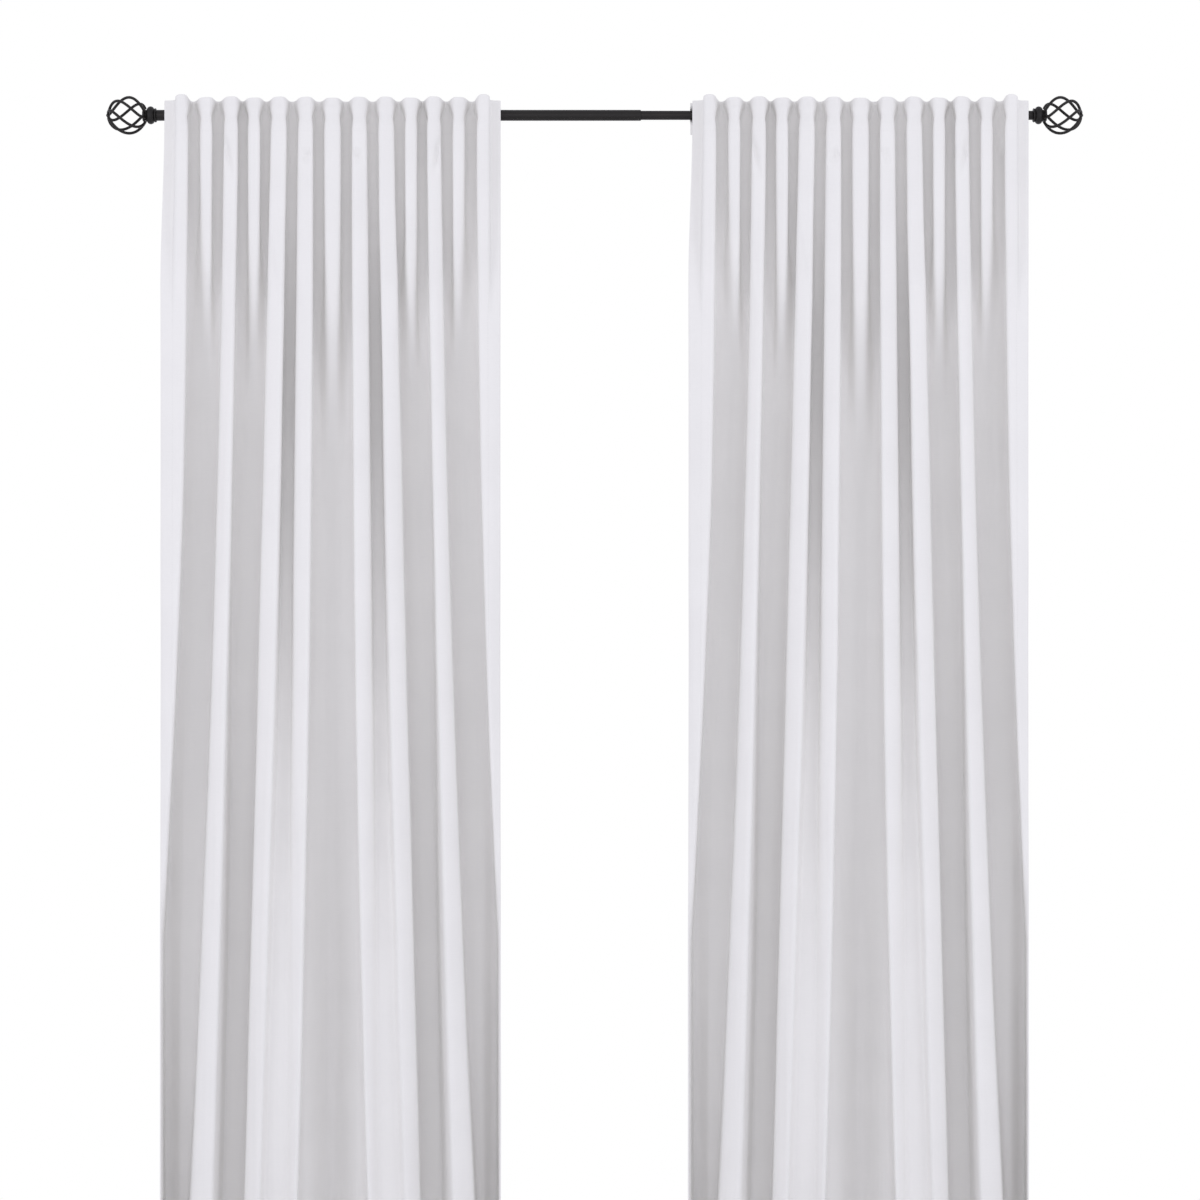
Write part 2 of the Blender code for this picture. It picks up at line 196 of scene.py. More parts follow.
def step_at(x, edge, width):
    """Rises smoothly from 0 to 1 across a width centred on an edge."""
    return smoothstep((x - edge) / width + 0.5)


def mix(a, b, share):
    return a + (b - a) * share


def value_noise(x, y, seed):
    """Smooth noise from -1 to 1 with a cell of 1 each way, the same for a seed each time."""
    size = 257
    grid = np.random.default_rng(seed).uniform(-1.0, 1.0, (size, size))
    cell_x = np.floor(x).astype(int)
    cell_y = np.floor(y).astype(int)
    part_x = smoothstep(x - cell_x)
    part_y = smoothstep(y - cell_y)
    corner = lambda i, j: grid[(cell_x + i) % size, (cell_y + j) % size]
    low = mix(corner(0, 0), corner(1, 0), part_x)
    high = mix(corner(0, 1), corner(1, 1), part_x)
    return mix(low, high, part_y)


def soften(values, samples):
    """Gaussian smoothing along the last axis, with the ends held."""
    reach = int(3 * samples) + 1
    weights = np.exp(-0.5 * (np.arange(-reach, reach + 1) / samples) ** 2)
    weights /= weights.sum()
    before = 2 * values[:1] - values[reach:0:-1]
    after = 2 * values[-1:] - values[-2 : -reach - 2 : -1]
    return np.convolve(np.concatenate([before, values, after]), weights, mode="valid")


def new_object(name, data, body=None):
    obj = bpy.data.objects.new(name, data)
    bpy.context.scene.collection.objects.link(obj)
    if body:
        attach(obj, body)
    return obj


def mesh_from_bmesh(name, bm, sharp_angle=40):
    mesh = bpy.data.meshes.new(name)
    bmesh.ops.recalc_face_normals(bm, faces=bm.faces)
    bm.to_mesh(mesh)
    bm.free()
    mesh.shade_smooth()
    mesh.set_sharp_from_angle(angle=math.radians(sharp_angle))
    return mesh


def finished_mesh(obj):
    """The mesh of a curve or of an object with modifiers, in place of the object."""
    bpy.context.view_layer.update()
    graph = bpy.context.evaluated_depsgraph_get()
    mesh = bpy.data.meshes.new_from_object(obj.evaluated_get(graph))
    bpy.data.objects.remove(obj)
    return mesh


def welded(name, mesh, sharp_angle, distance=WELD):
    """The mesh with its doubled points joined."""
    bm = bmesh.new()
    bm.from_mesh(mesh)
    bmesh.ops.remove_doubles(bm, verts=bm.verts, dist=distance)
    return mesh_from_bmesh(name, bm, sharp_angle)


def grid_mesh(name, points, uv=None):
    """A mesh from a grid of points (rows, columns, 3), with UVs in metres if given."""
    rows, columns = points.shape[:2]
    index = np.arange(rows * columns).reshape(rows, columns)
    faces = np.stack(
        [index[:-1, :-1], index[1:, :-1], index[1:, 1:], index[:-1, 1:]], axis=-1
    ).reshape(-1, 4)
    mesh = bpy.data.meshes.new(name)
    mesh.from_pydata(points.reshape(-1, 3).tolist(), [], faces.tolist())
    if uv is not None:
        layer = mesh.uv_layers.new(name="cut")
        flat = uv.reshape(-1, 2)[faces.reshape(-1)]
        layer.data.foreach_set("uv", flat.astype(np.float32).ravel())
    mesh.shade_smooth()
    return mesh


def arc(centre, radius, start, end, count):
    """Points on an arc, with its ends, angles in degrees."""
    angles = np.radians(np.linspace(start, end, count + 1))
    return [(centre[0] + radius * math.cos(a), centre[1] + radius * math.sin(a)) for a in angles]


def lathe(name, profile, segments=72, sharp_angle=40):
    """A turned mesh from (radius, distance along +Z) points."""
    bm = bmesh.new()
    verts = [bm.verts.new((radius, 0, along)) for radius, along in profile]
    edges = [bm.edges.new(pair) for pair in zip(verts, verts[1:])]
    bmesh.ops.spin(
        bm,
        geom=verts + edges,
        axis=(0, 0, 1),
        cent=(0, 0, 0),
        angle=2 * math.pi,
        steps=segments,
        use_merge=True,
    )
    bmesh.ops.remove_doubles(bm, verts=bm.verts, dist=WELD)
    return mesh_from_bmesh(name, bm, sharp_angle)


def outward_matrix(x, side):
    """Takes +Z to the direction away from the rod's middle, at a place on the rod's axis."""
    turn = Matrix.Rotation(math.radians(90) * side, 4, "Y")
    return Matrix.Translation((x, ROD_Y, ROD_Z)) @ turn


# ---------------------------------------------------------------- materials


def add_node(tree, kind, **values):
    node = tree.nodes.new(kind)
    for key, value in values.items():
        if key in node.inputs:
            node.inputs[key].default_value = value
        else:
            setattr(node, key, value)
    return node


def principled(name):
    material = bpy.data.materials.new(name)
    material.use_nodes = True
    return material, material.node_tree, material.node_tree.nodes["Principled BSDF"]


def two_colours(tree, share, dark, light):
    """A colour mixed by a share between two colours."""
    blend = add_node(tree, "ShaderNodeMix", data_type="RGBA")
    blend.inputs["A"].default_value = (*dark, 1.0)
    blend.inputs["B"].default_value = (*light, 1.0)
    tree.links.new(share, blend.inputs["Factor"])
    return blend.outputs["Result"]


def ranged(tree, share, low, high):
    """A number from low to high, by a share from 0 to 1."""
    span = add_node(tree, "ShaderNodeMapRange", **{"To Min": low, "To Max": high})
    tree.links.new(share, span.inputs["Value"])
    return span.outputs["Result"]


def settle(shader, **values):
    """Sets plain numbers on a shader's own sockets, by their names with _ for a space."""
    for key, value in values.items():
        shader.inputs[key.replace("_", " ")].default_value = value


def stretched(tree, coordinates, scale):
    mapping = add_node(tree, "ShaderNodeMapping", Scale=scale)
    tree.links.new(coordinates, mapping.inputs["Vector"])
    return mapping.outputs["Vector"]


def bump_chain(tree, shader, *layers):
    """Stacks bump layers, each (height output, distance in metres, strength)."""
    previous = None
    for height, distance, strength in layers:
        bump = add_node(tree, "ShaderNodeBump", Distance=distance, Strength=strength)
        tree.links.new(height, bump.inputs["Height"])
        if previous:
            tree.links.new(previous, bump.inputs["Normal"])
        previous = bump.outputs["Normal"]
    tree.links.new(previous, shader.inputs["Normal"])


def woven_cloth(name, base, thread_pitch=0.0007):
    """Plain-woven cloth: warp and weft ribs, slubs in the weft and a slight soft sheen."""
    material, tree, shader = principled(name)
    cut = add_node(tree, "ShaderNodeUVMap", uv_map="cut").outputs["UV"]
    wave_period = 0.31416  # of a wave texture at scale 1
    ribs = []
    for direction in ("X", "Y"):
        wave = add_node(tree, "ShaderNodeTexWave", bands_direction=direction, Distortion=0.6)
        wave.inputs["Scale"].default_value = wave_period / thread_pitch
        tree.links.new(cut, wave.inputs["Vector"])
        ribs.append(wave.outputs["Fac"])
    weave = add_node(tree, "ShaderNodeMath", operation="MAXIMUM")
    tree.links.new(ribs[0], weave.inputs[0])
    tree.links.new(ribs[1], weave.inputs[1])
    slub = add_node(tree, "ShaderNodeTexNoise", Scale=1.0, Detail=3.0, Roughness=0.6)
    tree.links.new(stretched(tree, cut, (45.0, 620.0, 1.0)), slub.inputs["Vector"])
    cloud = add_node(tree, "ShaderNodeTexNoise", Scale=9.0, Detail=2.0)
    tree.links.new(cut, cloud.inputs["Vector"])
    tone = add_node(tree, "ShaderNodeMath", operation="MULTIPLY_ADD")
    tree.links.new(slub.outputs["Fac"], tone.inputs[0])
    tone.inputs[1].default_value = 0.6
    tree.links.new(cloud.outputs["Fac"], tone.inputs[2])
    darker = [channel * 0.955 for channel in base]
    lighter = [min(1.0, channel * 1.02) for channel in base]
    tree.links.new(two_colours(tree, tone.outputs["Value"], darker, lighter), shader.inputs["Base Color"])
    settle(shader, Roughness=0.88, Specular_IOR_Level=0.25, Sheen_Weight=0.10, Sheen_Roughness=0.45)
    bump_chain(tree, shader, (slub.outputs["Fac"], 0.0005, 0.20), (weave.outputs["Value"], 0.0002, 0.22))
    return material


def sewing_thread(name, base):
    """Twisted sewing thread, with ridges round it, and painted shade: the grooves between the ridges are
    painted darker.
    """
    material, tree, shader = principled(name)
    place = add_node(tree, "ShaderNodeTexCoord").outputs["Object"]
    twist = add_node(tree, "ShaderNodeTexWave", bands_direction="DIAGONAL", Scale=420.0)
    tree.links.new(place, twist.inputs["Vector"])
    # painted shade: the colour is darker where the twist's bump is low, in the grooves between its ridges
    darker = [channel * 0.85 for channel in base]
    tree.links.new(two_colours(tree, twist.outputs["Fac"], darker, base), shader.inputs["Base Color"])
    settle(shader, Roughness=0.55, Sheen_Weight=0.15)
    bump_chain(tree, shader, (twist.outputs["Fac"], 0.0001, 0.4))
    return material


def painted_bronze(name, base):
    """Dark oil-rubbed bronze paint: a fine orange peel, and a little warm wear on raised edges."""
    material, tree, shader = principled(name)
    place = add_node(tree, "ShaderNodeTexCoord").outputs["Object"]
    peel = add_node(tree, "ShaderNodeTexNoise", Scale=900.0, Detail=3.0)
    cloud = add_node(tree, "ShaderNodeTexNoise", Scale=35.0, Detail=4.0, Roughness=0.65)
    for texture in (peel, cloud):
        tree.links.new(place, texture.inputs["Vector"])
    geometry = add_node(tree, "ShaderNodeNewGeometry")
    raised = add_node(tree, "ShaderNodeMapRange", **{"From Min": 0.52, "From Max": 0.62})
    tree.links.new(geometry.outputs["Pointiness"], raised.inputs["Value"])
    worn = add_node(tree, "ShaderNodeMath", operation="MULTIPLY")
    tree.links.new(raised.outputs["Result"], worn.inputs[0])
    tree.links.new(cloud.outputs["Fac"], worn.inputs[1])
    deep = [channel * 0.8 for channel in base]
    clear = [channel * 1.25 for channel in base]
    warm = [base[0] * 3.2, base[1] * 2.6, base[2] * 2.1]
    body = two_colours(tree, cloud.outputs["Fac"], deep, clear)
    edge = add_node(tree, "ShaderNodeMix", data_type="RGBA")
    edge.inputs["B"].default_value = (*warm, 1.0)
    tree.links.new(body, edge.inputs["A"])
    tree.links.new(worn.outputs["Value"], edge.inputs["Factor"])
    tree.links.new(edge.outputs["Result"], shader.inputs["Base Color"])
    tree.links.new(ranged(tree, cloud.outputs["Fac"], 0.36, 0.52), shader.inputs["Roughness"])
    settle(shader, Specular_IOR_Level=0.24)
    bump_chain(tree, shader, (peel.outputs["Fac"], 0.0001, 0.25))
    return material


def plated_zinc(name, base):
    """Bright zinc plating with a slightly cloudy passivation."""
    material, tree, shader = principled(name)
    place = add_node(tree, "ShaderNodeTexCoord").outputs["Object"]
    cloud = add_node(tree, "ShaderNodeTexNoise", Scale=260.0, Detail=4.0)
    tree.links.new(place, cloud.inputs["Vector"])
    bluish = [base[0] * 0.85, base[1] * 0.9, base[2]]
    tree.links.new(two_colours(tree, cloud.outputs["Fac"], bluish, base), shader.inputs["Base Color"])
    tree.links.new(ranged(tree, cloud.outputs["Fac"], 0.24, 0.42), shader.inputs["Roughness"])
    settle(shader, Metallic=1.0)
    bump_chain(tree, shader, (cloud.outputs["Fac"], 0.0001, 0.15))
    return material


def matte_floor(name, base):
    material, tree, shader = principled(name)
    place = add_node(tree, "ShaderNodeTexCoord").outputs["Object"]
    cloud = add_node(tree, "ShaderNodeTexNoise", Scale=2.0, Detail=3.0)
    tree.links.new(place, cloud.inputs["Vector"])
    darker = [channel * 0.98 for channel in base]
    tree.links.new(two_colours(tree, cloud.outputs["Fac"], darker, base), shader.inputs["Base Color"])
    settle(shader, Roughness=0.9)
    return material


def finish_of(scene, kind):
    """The material of a kind, made once."""
    found = bpy.data.materials.get(kind)
    if found:
        return found
    make, base = {
        "woven_cloth": (woven_cloth, scene.curtain_panels.cloth_colour),
        "sewing_thread": (sewing_thread, scene.curtain_panels.thread_colour),
        "painted_bronze": (painted_bronze, scene.curtain_rod.bronze),
        "plated_zinc": (plated_zinc, scene.curtain_rod.zinc),
        "matte_floor": (matte_floor, scene.curtain_stage.floor_colour),
    }[kind]
    return make(kind, base)


def dress(context, obj, kind, *nodes):
    """Gives a piece its material and hides the CAD nodes that it stands for."""
    obj.data.materials.clear()
    obj.data.materials.append(finish_of(context.scene, kind))
    if nodes:
        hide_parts(*nodes)
    return obj


# ---------------------------------------------------------------- the cloth's folds

# A fold, by its edges from the panel's middle line: near and far edge at the header, how far each
# has moved out at the hem, the power of the depth that it moves with, the width of each flank at
# the header and at its lower end, the depth by which it has melted away (0 if it runs to the hem),
# and how far its crest stands above the header line.
Fold = namedtuple(
    "Fold", "near far near_gain far_gain near_power far_power near_flank far_flank melts crest"
)
FOLDS = (
    Fold(-0.0167, 0.0167, 0, 0, 1, 1, (0.005, 0.026), (0.005, 0.026), 0.66, -0.0015),
    Fold(0.0326, 0.0625, 0.0264, 0.0225, 2.2, 1.0, (0.004, 0.006), (0.006, 0.020), 0, 0.0005),
    Fold(0.0783, 0.1100, 0.0387, 0.0475, 1.3, 1.1, (0.006, 0.024), (0.004, 0.009), 0, 0.0008),
    Fold(0.1257, 0.1507, 0, 0, 1, 1, (0.005, 0.032), (0.004, 0.014), 0.54, -0.0010),
    Fold(0.1646, 0.1927, 0.0378, 0.0599, 1.35, 1.5, (0.004, 0.022), (0.004, 0.012), 0, 0.0012),
    Fold(0.2101, 0.2351, 0, 0, 1, 1, (0.004, 0.014), (0.006, 0.034), 0.47, 0.0),
    Fold(0.2526, 0.4000, 0.0640, 0, 2.0, 1, (0.004, 0.009), (0.005, 0.010), 0, 0.0048),
)
# Middle of each fold at the header, and of its crest on the top edge.
HEADER_CENTRES = (0.0, 0.0476, 0.0942, 0.1382, 0.1787, 0.2226, 0.2680)
CREST_CENTRES = (*HEADER_CENTRES[:-1], 0.2655)
DROP = 1.9  # depth below the rod at which the folds have their hem shape
HALF_WIDTH = 0.2948  # of the gathered panel at the rod
FLARE = 0.0070  # by which its outer edge stands further out below
OUTER_ZONE = 0.262  # from the middle line to where that flare starts
TUCK = 0.0065  # by which a ridge hangs over the foot of each flank
CRADLE_FRONT = -0.0168  # of the rod's axis: where the cloth passes in front of a cradle
VALLEY_AT_ROD = -0.0121  # of the rod's axis: where the valleys lie beside the rod
WAIST = 0.16  # share by which a fold is drawn in at the rod
WAIST_HEIGHT = 0.013
FLARED_HALF = 0.0150  # half width of a fold at the top edge
FLARED_FLANK = 0.013
EDGE_MARGIN = 0.0045  # least width of the last ridge
RIDGE_POWER = 8  # how sharply ridges that cross stay apart
TOP_EDGE_DIP = -0.0012  # height of the header's top edge over its line, between the crests
CREST_REACH = 0.0125  # from a fold's centre to where its crest falls away


def fold_depth_line(z):
    """How far behind the rod's axis the valleys lie at a height, as the CAD folds do."""
    lowest = HEM - ROD_Z
    levels = (TOP, 0.0, lowest * 0.05, lowest * 0.14, lowest * 0.33, lowest)
    valleys = (VALLEY_AT_ROD, VALLEY_AT_ROD, -0.0070, 0.0150, 0.0345, 0.0520)
    return np.interp(-z, [-level for level in levels], valleys)


def header_flare(down):
    return smoothstep((-down - 0.008) / 0.020)


def fold_edges(fold, centre, down):
    """A fold's near and far edge at a depth below the rod, with its waist and its flare at the header."""
    t = max(down, 0.0) / DROP
    flare = header_flare(down)
    waist = 1.0 - WAIST * math.exp(-((down / WAIST_HEIGHT) ** 2))
    near = fold.near + fold.near_gain * t**fold.near_power
    far = fold.far + fold.far_gain * t**fold.far_power
    near = mix(centre + (near - centre) * waist, centre - FLARED_HALF, flare)
    near = min(near, HALF_WIDTH - EDGE_MARGIN)
    if far < HALF_WIDTH:
        far = mix(centre + (far - centre) * waist, centre + FLARED_HALF, flare)
    return near, far


def fold_shape(out, down):
    """The cloth's folds at distances out from the panel's middle line and a depth below the rod:
    how far forward it stands, 0 in a valley and 1 on a ridge, and how far each point moves
    outwards so that the ridges hang over the foot of their flanks."""
    t = max(down, 0.0) / DROP
    flare = header_flare(down)
    total = np.zeros_like(out)
    tuck = np.zeros_like(out)
    for fold, centre in zip(FOLDS, HEADER_CENTRES):
        near, far = fold_edges(fold, centre, down)
        melt = smoothstep((down - 0.12 * fold.melts) / (0.92 * fold.melts)) if fold.melts else 0.0
        lower = smoothstep((down - 0.04) / fold.melts) if fold.melts else t
        near_flank = mix(mix(*fold.near_flank, lower), FLARED_FLANK, flare)
        far_flank = mix(mix(*fold.far_flank, lower), FLARED_FLANK, flare)
        crown_width = min(far, HALF_WIDTH + FLARE) - near
        across = np.clip((out - near) / max(crown_width, 1e-4), 0.0, 1.0)
        crown = 1.0 - mix(0.16, 0.30, t) * across**2
        if fold is FOLDS[0]:
            crown = 1.0 - 0.10 * (out / fold.far) ** 2
        if fold is FOLDS[-1]:
            crown *= 1.0 - 0.12 * smoothstep((down - 1.15) / 0.55)
        shape = step_at(out, near, near_flank) * (1.0 - step_at(out, far, far_flank))
        total += ((1.0 - melt) * crown * shape) ** RIDGE_POWER
        # The foot of a flank lies a little under its ridge.
        under = (1.0 - flare) * (1.0 - melt) * TUCK * smoothstep((down + 0.010) / 0.030)
        for edge, flank, way in ((near, near_flank, 1), (far, far_flank, -1)):
            crisp = 1.0 - smoothstep((flank - 0.009) / 0.010)
            foot = np.exp(-((way * (out - edge) / flank + 0.22) / 0.32) ** 2)
            tuck += way * min(under, 0.30 * crown_width) * crisp * foot
    # The shallow dip between the second and third folds fills up towards the hem.
    second_far = FOLDS[1].far + FOLDS[1].far_gain * t
    third_near = FOLDS[2].near + FOLDS[2].near_gain * t**1.3
    bridge = 0.74 * smoothstep(down / 1.7)
    dip = step_at(out, second_far - 0.010, 0.012) * (1.0 - step_at(out, third_near + 0.010, 0.014))
    total += (bridge * dip) ** RIDGE_POWER
    shape = total ** (1.0 / RIDGE_POWER)
    # The wide valleys are deepest in the middle, and swell towards the flanks below.
    swell = 0.22 * smoothstep(out / 0.055) * (1.0 - step_at(out, 0.070, 0.03)) * t
    middle = 0.34 * (1.0 - smoothstep(out / 0.058))
    outer = 0.20 * smoothstep((out - 0.262) / 0.020) * (1.0 - step_at(out, 0.293, 0.006))
    shape = np.maximum(shape, swell) - (middle + outer) * smoothstep((down - 0.9) / 0.9)
    # The side hem beyond the last ridge lies well back at the header.
    lying = 1.0 - smoothstep((down - 0.05) / 0.34)
    flap = 0.85 * lying * step_at(out, 0.2780, 0.004)
    tuck -= 0.0030 * lying * np.exp(-(((out - 0.2790) / 0.0016) ** 2))
    return shape * (1.0 - flap), tuck


def header_crest(out):
    """How far the header's top edge stands above its line, along the panel."""
    crest = np.full_like(out, TOP_EDGE_DIP)
    for fold, centre in zip(FOLDS, CREST_CENTRES):
        crest += (fold.crest - TOP_EDGE_DIP) * np.exp(-(((out - centre) / CREST_REACH) ** 4))
    return crest


def crease(out, down, start, end, depth, width):
    """A dent along a line between two (out, down) points."""
    start = np.array(start)
    along = np.array(end) - start
    to_point = np.stack([out - start[0], np.full_like(out, down) - start[1]])
    share = np.clip((to_point[0] * along[0] + to_point[1] * along[1]) / (along @ along), 0, 1)
    off = np.hypot(to_point[0] - share * along[0], to_point[1] - share * along[1])
    return depth * np.exp(-((off / width) ** 2)) * np.sin(np.pi * np.clip(share, 0.06, 0.94))


def wrinkle_field(across, down, seed):
    """Fine upright wrinkles and a few broad soft ones, in heights from about -1 to 1."""
    fine = value_noise(across / 0.0085, down / 0.34, seed)
    finer = value_noise(across / 0.0042, down / 0.22, seed + 1)
    broad = value_noise(across / 0.030, down / 0.16, seed + 2)
    return 0.5 * fine + 0.2 * finer + 0.6 * broad


def panel_rows(sizes):
    """Heights of the cloth's rows, close together at the header and wider apart below."""
    header = np.arange(TOP, ROD_Z - 0.060, -0.0035)
    upper = np.arange(header[-1] - 0.006, ROD_Z - 0.30, -0.008)
    lower_top = upper[-1] - 0.014
    lower = np.linspace(lower_top, HEM + sizes.bottom_hem, int((lower_top - HEM) / 0.016))
    hem = np.linspace(HEM + sizes.bottom_hem, HEM, 7)[1:]
    return np.concatenate([header, upper, lower, hem])


def row_points(z, width, columns, middle_x, view, corner):
    """One level row of the cloth: its fold depth is solved so that its length is the cloth's width.

    Each point is set out along the line of sight, so that the folds stand where the straight-on
    view shows them."""
    eye_x, eye_z, eye_distance = view
    lean = 1.0 + 0.045 / eye_distance
    down = ROD_Z - (eye_z + (z - eye_z) * lean)
    outer = HALF_WIDTH + FLARE * smoothstep(down / 0.30)
    samples = 2400
    offset = np.linspace(outer, -HALF_WIDTH, samples)
    out = np.abs(offset)
    margin = HALF_WIDTH - OUTER_ZONE
    flared = OUTER_ZONE + (out - OUTER_ZONE) * margin / (outer - OUTER_ZONE)
    out = np.where(offset > OUTER_ZONE, flared, out)
    shape, tuck = fold_shape(out, down)
    dents = crease(out, down, (0.1905, 0.030), (0.1790, 0.105), 0.0085, 0.0034)
    dents += crease(out, down, (0.0520, 0.080), (0.0385, 0.058), 0.0085, 0.0050)
    valley = fold_depth_line(z)
    plane_x = middle_x - offset - np.sign(offset) * tuck
    wander = 0.0012 * value_noise(offset / 0.05 + 40, np.full(samples, z / 0.25) + 30, 11)
    valley_x = eye_x + (plane_x - eye_x) * (1.0 + valley / eye_distance)
    from_cradle = np.min([np.abs(valley_x - x) for x in BRACKET_X.values()], axis=0)
    beside = smoothstep((0.0175 - from_cradle) / 0.0070) * smoothstep((z - ROD_Z + 0.080) / 0.028)

    def line_of(depth):
        back = valley - depth * shape + dents + wander * smoothstep(down / 0.1)
        back = mix(back, np.minimum(back, CRADLE_FRONT), beside)
        x = eye_x + (plane_x - eye_x) * (1.0 + back / eye_distance)
        steps = np.hypot(np.diff(x), np.diff(back))
        along = np.concatenate([[0.0], np.cumsum(steps)])
        even = np.linspace(0.0, along[-1], columns * 2)
        softness = corner / (even[1] - even[0])
        x = soften(np.interp(even, along, x), softness)
        back = soften(np.interp(even, along, back), softness)
        place = np.interp(even, along, offset)
        along = np.concatenate([[0.0], np.cumsum(np.hypot(np.diff(x), np.diff(back)))])
        return x, back, place, along

    low, high = 0.01, 0.16
    for _ in range(22):
        depth = (low + high) / 2
        x, back, place, along = line_of(depth)
        if along[-1] < width:
            low = depth
        else:
            high = depth
    even = np.linspace(0.0, along[-1], columns)
    x = np.interp(even, along, x)
    y = ROD_Y + np.interp(even, along, back)
    crest = header_crest(np.abs(np.interp(even, along, place)))
    lifted = smoothstep((z - ROD_Z) / (TOP - ROD_Z)) * crest
    return np.stack([x, y, z + lifted], axis=-1)


def grid_normals(points):
    """Unit normals of a grid of points, towards the room."""
    across = np.gradient(points, axis=1)
    down = np.gradient(points, axis=0)
    normal = np.cross(down, across)
    normal /= np.linalg.norm(normal, axis=2, keepdims=True)
    return normal if normal[..., 1].mean() < 0 else -normal


class ClothPanel:
    """One panel's cloth: its front layer as a grid, and the same cloth folded back at its edges."""

    ROLL = (45, 90, 135)  # angles of the cloth round a folded edge

    def __init__(self, sizes, middle_x, view, seed):
        self.sizes = sizes
        self.heights = panel_rows(sizes)
        self.columns = int(sizes.flat_width / sizes.thread_step) + 1
        rows = [
            row_points(z, sizes.flat_width, self.columns, middle_x, view, sizes.corner)
            for z in self.heights
        ]
        self.points = np.array(rows)
        self.across = np.linspace(0.0, sizes.flat_width, self.columns)
        self.down = TOP - self.heights
        self.normals = grid_normals(self.points)
        across, down = np.meshgrid(self.across, self.down)
        field = wrinkle_field(across, down, seed)
        quiet = mix(0.35, 1.0, smoothstep((down - 0.03) / 0.10))
        self.points = self.points + self.normals * (field * quiet * sizes.wrinkle)[..., None]
        self.normals = grid_normals(self.points)

    def fold_back(self, points, normals, uv, count, own, total):
        """Adds the cloth beyond the first row, rolled over and folded back behind `count` rows.

        `own` is how many layers each column already lies back, and `total` how many the folded
        cloth stands behind, counted in layer gaps."""
        gap = self.sizes.layer_gap
        edge, inside = points[0], points[1]
        outward = edge - inside
        outward /= np.linalg.norm(outward, axis=1, keepdims=True)
        depth = ((total - 2 * own) * gap)[:, None]
        added, added_uv = [], []
        uv_step = uv[0] - uv[1]
        for angle in self.ROLL:
            turn = math.radians(angle)
            back = -normals[0] * depth / 2 * (1 - math.cos(turn))
            added.append(edge + back + outward * depth / 2 * math.sin(turn))
            added_uv.append(uv[0] + uv_step * (angle / 180) * 0.5)
        for row in range(count):
            added.append(points[row] - normals[row] * depth)
            added_uv.append(uv[0] + uv_step * 0.5 + (uv[0] - uv[row]))
        points = np.concatenate([np.array(added[::-1]), points])
        uv = np.concatenate([np.array(added_uv[::-1]), uv])
        normals = np.concatenate([np.repeat(normals[:1], len(self.ROLL), 0), normals])
        normals = np.concatenate([normals[len(self.ROLL) : len(self.ROLL) + count][::-1], normals])
        return points, normals, uv

    def hemmed(self):
        """The whole cut as one grid: side hems first, then the facing and the bottom hem."""
        sizes = self.sizes
        u, v = np.meshgrid(self.across, self.down)
        uv = np.stack([u, v], axis=-1)
        points, normals = self.points, self.normals
        hem_columns = round(sizes.side_hem / sizes.thread_step) + 1
        flip = lambda grid: np.swapaxes(grid, 0, 1)
        none = np.zeros(len(points))
        for _ in range(2):
            parts = self.fold_back(flip(points), flip(normals), flip(uv), hem_columns, none, none + 1)
            points, normals, uv = (flip(part)[:, ::-1] for part in parts)
        columns = points.shape[1]
        hem = hem_columns + len(self.ROLL)
        own = np.zeros(columns)
        own[:hem_columns] = 1
        own[-hem_columns:] = 1
        for i, angle in enumerate(self.ROLL[::-1]):
            own[hem_columns + i] = own[-hem_columns - 1 - i] = (1 - math.cos(math.radians(angle))) / 2
        index = np.arange(columns)
        from_edge = np.minimum(index, columns - 1 - index)
        total = mix(3.0, 1.0, smoothstep((from_edge - hem - hem_columns + 1) / 5.0))
        top_rows = int(np.argmax(self.down >= sizes.facing)) + 1
        bottom_rows = int(np.argmax((self.down[-1] - self.down[::-1]) >= sizes.bottom_hem - 1e-4)) + 1
        for count in (top_rows, bottom_rows):
            points, normals, uv = self.fold_back(points, normals, uv, count, own, total)
            points, normals, uv = points[::-1], normals[::-1], uv[::-1]
        return points, uv

    def at(self, across, down):
        """Points and normals on the front layer at flat distances across and down the cloth."""
        row = np.interp(down, self.down, np.arange(len(self.down)))
        column = np.interp(across, self.across, np.arange(self.columns))
        r = np.clip(row.astype(int), 0, len(self.down) - 2)
        c = np.clip(column.astype(int), 0, self.columns - 2)
        pr = (row - r)[..., None]
        pc = (column - c)[..., None]

        def read(grid):
            upper = mix(grid[r, c], grid[r, c + 1], pc)
            lower = mix(grid[r + 1, c], grid[r + 1, c + 1], pc)
            return mix(upper, lower, pr)

        return read(self.points), read(self.normals)


PANEL_MIDDLE = {"left": 0.2631, "right": 1.1924}
WRINKLE_SEED = 5
CLOTHS = {}


def view_of(stage):
    """The eye's place across, its height and its distance from the rod."""
    return ROD_MIDDLE + stage.view_shift, ROD_Z - stage.view_height, stage.camera_distance


def tab_places(side):
    """X of each tab from the outer edge's to the leading edge's, from the CAD folds."""
    toward = -SIDES[side]
    low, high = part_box(side + "_panel_edge")
    outer = (low.x + high.x) / 2
    first = BRACKET_X[side]
    pitch = abs(box_middle(f"{side}_panel_fold_02").x - box_middle(f"{side}_panel_fold_01").x)
    places = [outer]
    places += [first + toward * pitch * (k + 0.5) for k in range(FOLD_COUNT - 1)]
    places.append(first + toward * pitch * (FOLD_COUNT - 1) + toward * abs(outer - first))
    return places


def follow_folds(obj, side):
    """Bakes a piece's placement into its mesh; the tab places from its outer edge to its leading fold are
    worked out but not used.
    """
    places = tab_places(side)
    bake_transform(obj)


def solidify(obj, thickness):
    shell = obj.modifiers.new("thickness", "SOLIDIFY")
    shell.thickness = thickness
    shell.offset = 0.0


# ---------------------------------------------------------------- operators


AIM_HEIGHT = -1.0  # of the point that the softboxes face
SOFTBOX_COLOUR = (0.92, 0.925, 1.0)
ROOM_COLOUR = (0.985, 0.99, 1.07)


